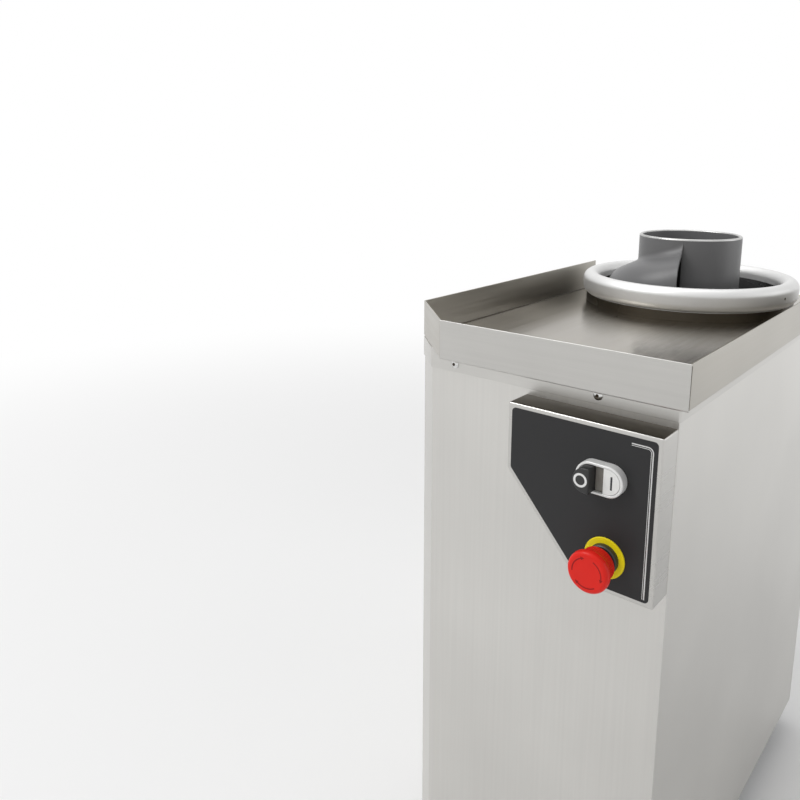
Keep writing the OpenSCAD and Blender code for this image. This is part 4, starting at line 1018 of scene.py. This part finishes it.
def pale_floor():
    """Pale floor that fades to white with distance, so that no horizon shows, but keeps the part's shade."""
    mat = finish("pale_floor", (0.88, 0.88, 0.88), 0.7, cloud=(0.6, 0.01), gloss=0.2)
    tree = mat.node_tree
    shader, surface = tree.nodes["Principled BSDF"], tree.nodes["Material Output"]
    coord, far, share, seen, glow, mix = made(tree, "TexCoord", "VectorMath", "MapRange", "Math", "Emission",
                                              "MixShader")
    far.operation, seen.operation, share.interpolation_type = "LENGTH", "MULTIPLY", "SMOOTHSTEP"
    dial(share, From_Min=0.6, From_Max=3.2)
    join(tree, (coord, "Object", far, 0), (far, "Value", share, "Value"), (share, "Result", seen, 0),
         (shown_rays(tree), 0, seen, 1), (seen, 0, mix, 0), (shader, 0, mix, 1), (glow, 0, mix, 2),
         (mix, 0, surface, "Surface"))
    return mat


def aim(obj, place, target):
    """Puts a lamp at a place with its beam on a target."""
    obj.location = place
    obj.rotation_euler = (Vector(target) - Vector(place)).to_track_quat("-Z", "Y").to_euler()


class OBJECT_OT_rounder_stage(bpy.types.Operator):
    """Sets up the pale floor, soft lamps, white surroundings and the camera"""
    bl_idname = "rounder.stage"
    bl_label = "Studio"

    def execute(self, context):
        scene, s = context.scene, context.scene.rounder_stage
        link = scene.collection.objects.link
        disc, sides = 30.0, 96
        a = np.arange(sides) * 2 * pi / sides
        mesh = bpy.data.meshes.new("floor")
        rim = disc * np.stack([np.cos(a), np.sin(a), 0 * a], 1)
        mesh.from_pydata(rim.tolist(), [], [list(range(sides))])
        mesh.materials.append(pale_floor())
        floor = bpy.data.objects.new("floor", mesh)
        link(floor)
        for name, power, size, place, target in (
                ("key", s.key, 1.6, (-1.6, -1.7, 3.0), (0, -0.1, 0.6)),
                ("side", s.side, 1.6, (2.3, 1.5, 1.3), (0.1, 0, 0.5)),
                ("top", s.top, 2.0, (-0.5, 0.6, 2.8), (0, 0.1, 0.7))):
            lamp = bpy.data.lights.new(name, "AREA")
            lamp.energy, lamp.size = power, size
            obj = bpy.data.objects.new(name, lamp)
            aim(obj, place, target)
            link(obj)
        world = bpy.data.worlds.new("white_room")
        scene.world = world
        world.use_nodes = True
        tree = world.node_tree
        mix, = made(tree, "Mix")
        mix.data_type = "RGBA"
        dial(mix, A=(s.sky, s.sky, s.sky, 1), B=(1, 1, 1, 1))
        join(tree, (shown_rays(tree), 0, mix, "Factor"), (mix, "Result", tree.nodes["Background"], "Color"))
        scene.view_settings.view_transform = "Standard"
        data = bpy.data.cameras.new("camera")
        data.sensor_width, data.lens, data.shift_y = 36.0, s.lens, s.shift
        camera = bpy.data.objects.new("camera", data)
        lo, hi = span("tray")
        camera.location = np.array([hi[0], lo[1], lo[2]]) + np.array(s.from_tray)
        camera.rotation_euler = (pi / 2 - s.pitch, 0, s.yaw)
        link(camera)
        scene.camera = camera
        return {"FINISHED"}


class VIEW3D_PT_rounder(bpy.types.Panel):
    """Lists the pieces of the dough rounder and their settings"""
    bl_idname = "VIEW3D_PT_rounder"
    bl_label = "Dough rounder"
    bl_space_type = "VIEW_3D"
    bl_region_type = "UI"
    bl_category = "Dough rounder"

    def draw(self, context):
        for operator in OPERATORS:
            self.layout.operator(operator.bl_idname)
        for name, settings in SETTINGS.items():
            for prop in settings.__annotations__:
                self.layout.prop(getattr(context.scene, name), prop)


SETTINGS = {
    "rounder_sheet": RounderSheet,
    "rounder_bowl": RounderBowl,
    "rounder_auger": RounderAuger,
    "rounder_switches": RounderSwitches,
    "rounder_stage": RounderStage,
}
OPERATORS = [
    OBJECT_OT_rounder_finishes,
    OBJECT_OT_rounder_cabinet,
    OBJECT_OT_rounder_tray,
    OBJECT_OT_rounder_bowl,
    OBJECT_OT_rounder_auger,
    OBJECT_OT_rounder_control_box,
    OBJECT_OT_rounder_push_button,
    OBJECT_OT_rounder_emergency_stop,
    OBJECT_OT_rounder_feet,
    OBJECT_OT_rounder_stage,
]


def register():
    """Registers the classes and hangs the settings on the scene."""
    for cls in [*SETTINGS.values(), *OPERATORS, VIEW3D_PT_rounder]:
        bpy.utils.register_class(cls)
    for name, cls in SETTINGS.items():
        setattr(bpy.types.Scene, name, PointerProperty(type=cls))


def unregister():
    """Takes the settings and the classes away again."""
    for name in SETTINGS:
        delattr(bpy.types.Scene, name)
    for cls in reversed([*SETTINGS.values(), *OPERATORS, VIEW3D_PT_rounder]):
        bpy.utils.unregister_class(cls)


def main():
    register()
    bpy.ops.rounder.finishes()
    bpy.ops.rounder.cabinet()
    bpy.ops.rounder.tray()
    bpy.ops.rounder.bowl()
    bpy.ops.rounder.auger()
    bpy.ops.rounder.control_box()
    bpy.ops.rounder.push_button()
    bpy.ops.rounder.emergency_stop()
    bpy.ops.rounder.feet()
    bpy.ops.rounder.stage()


if __name__ == "__main__":
    main()
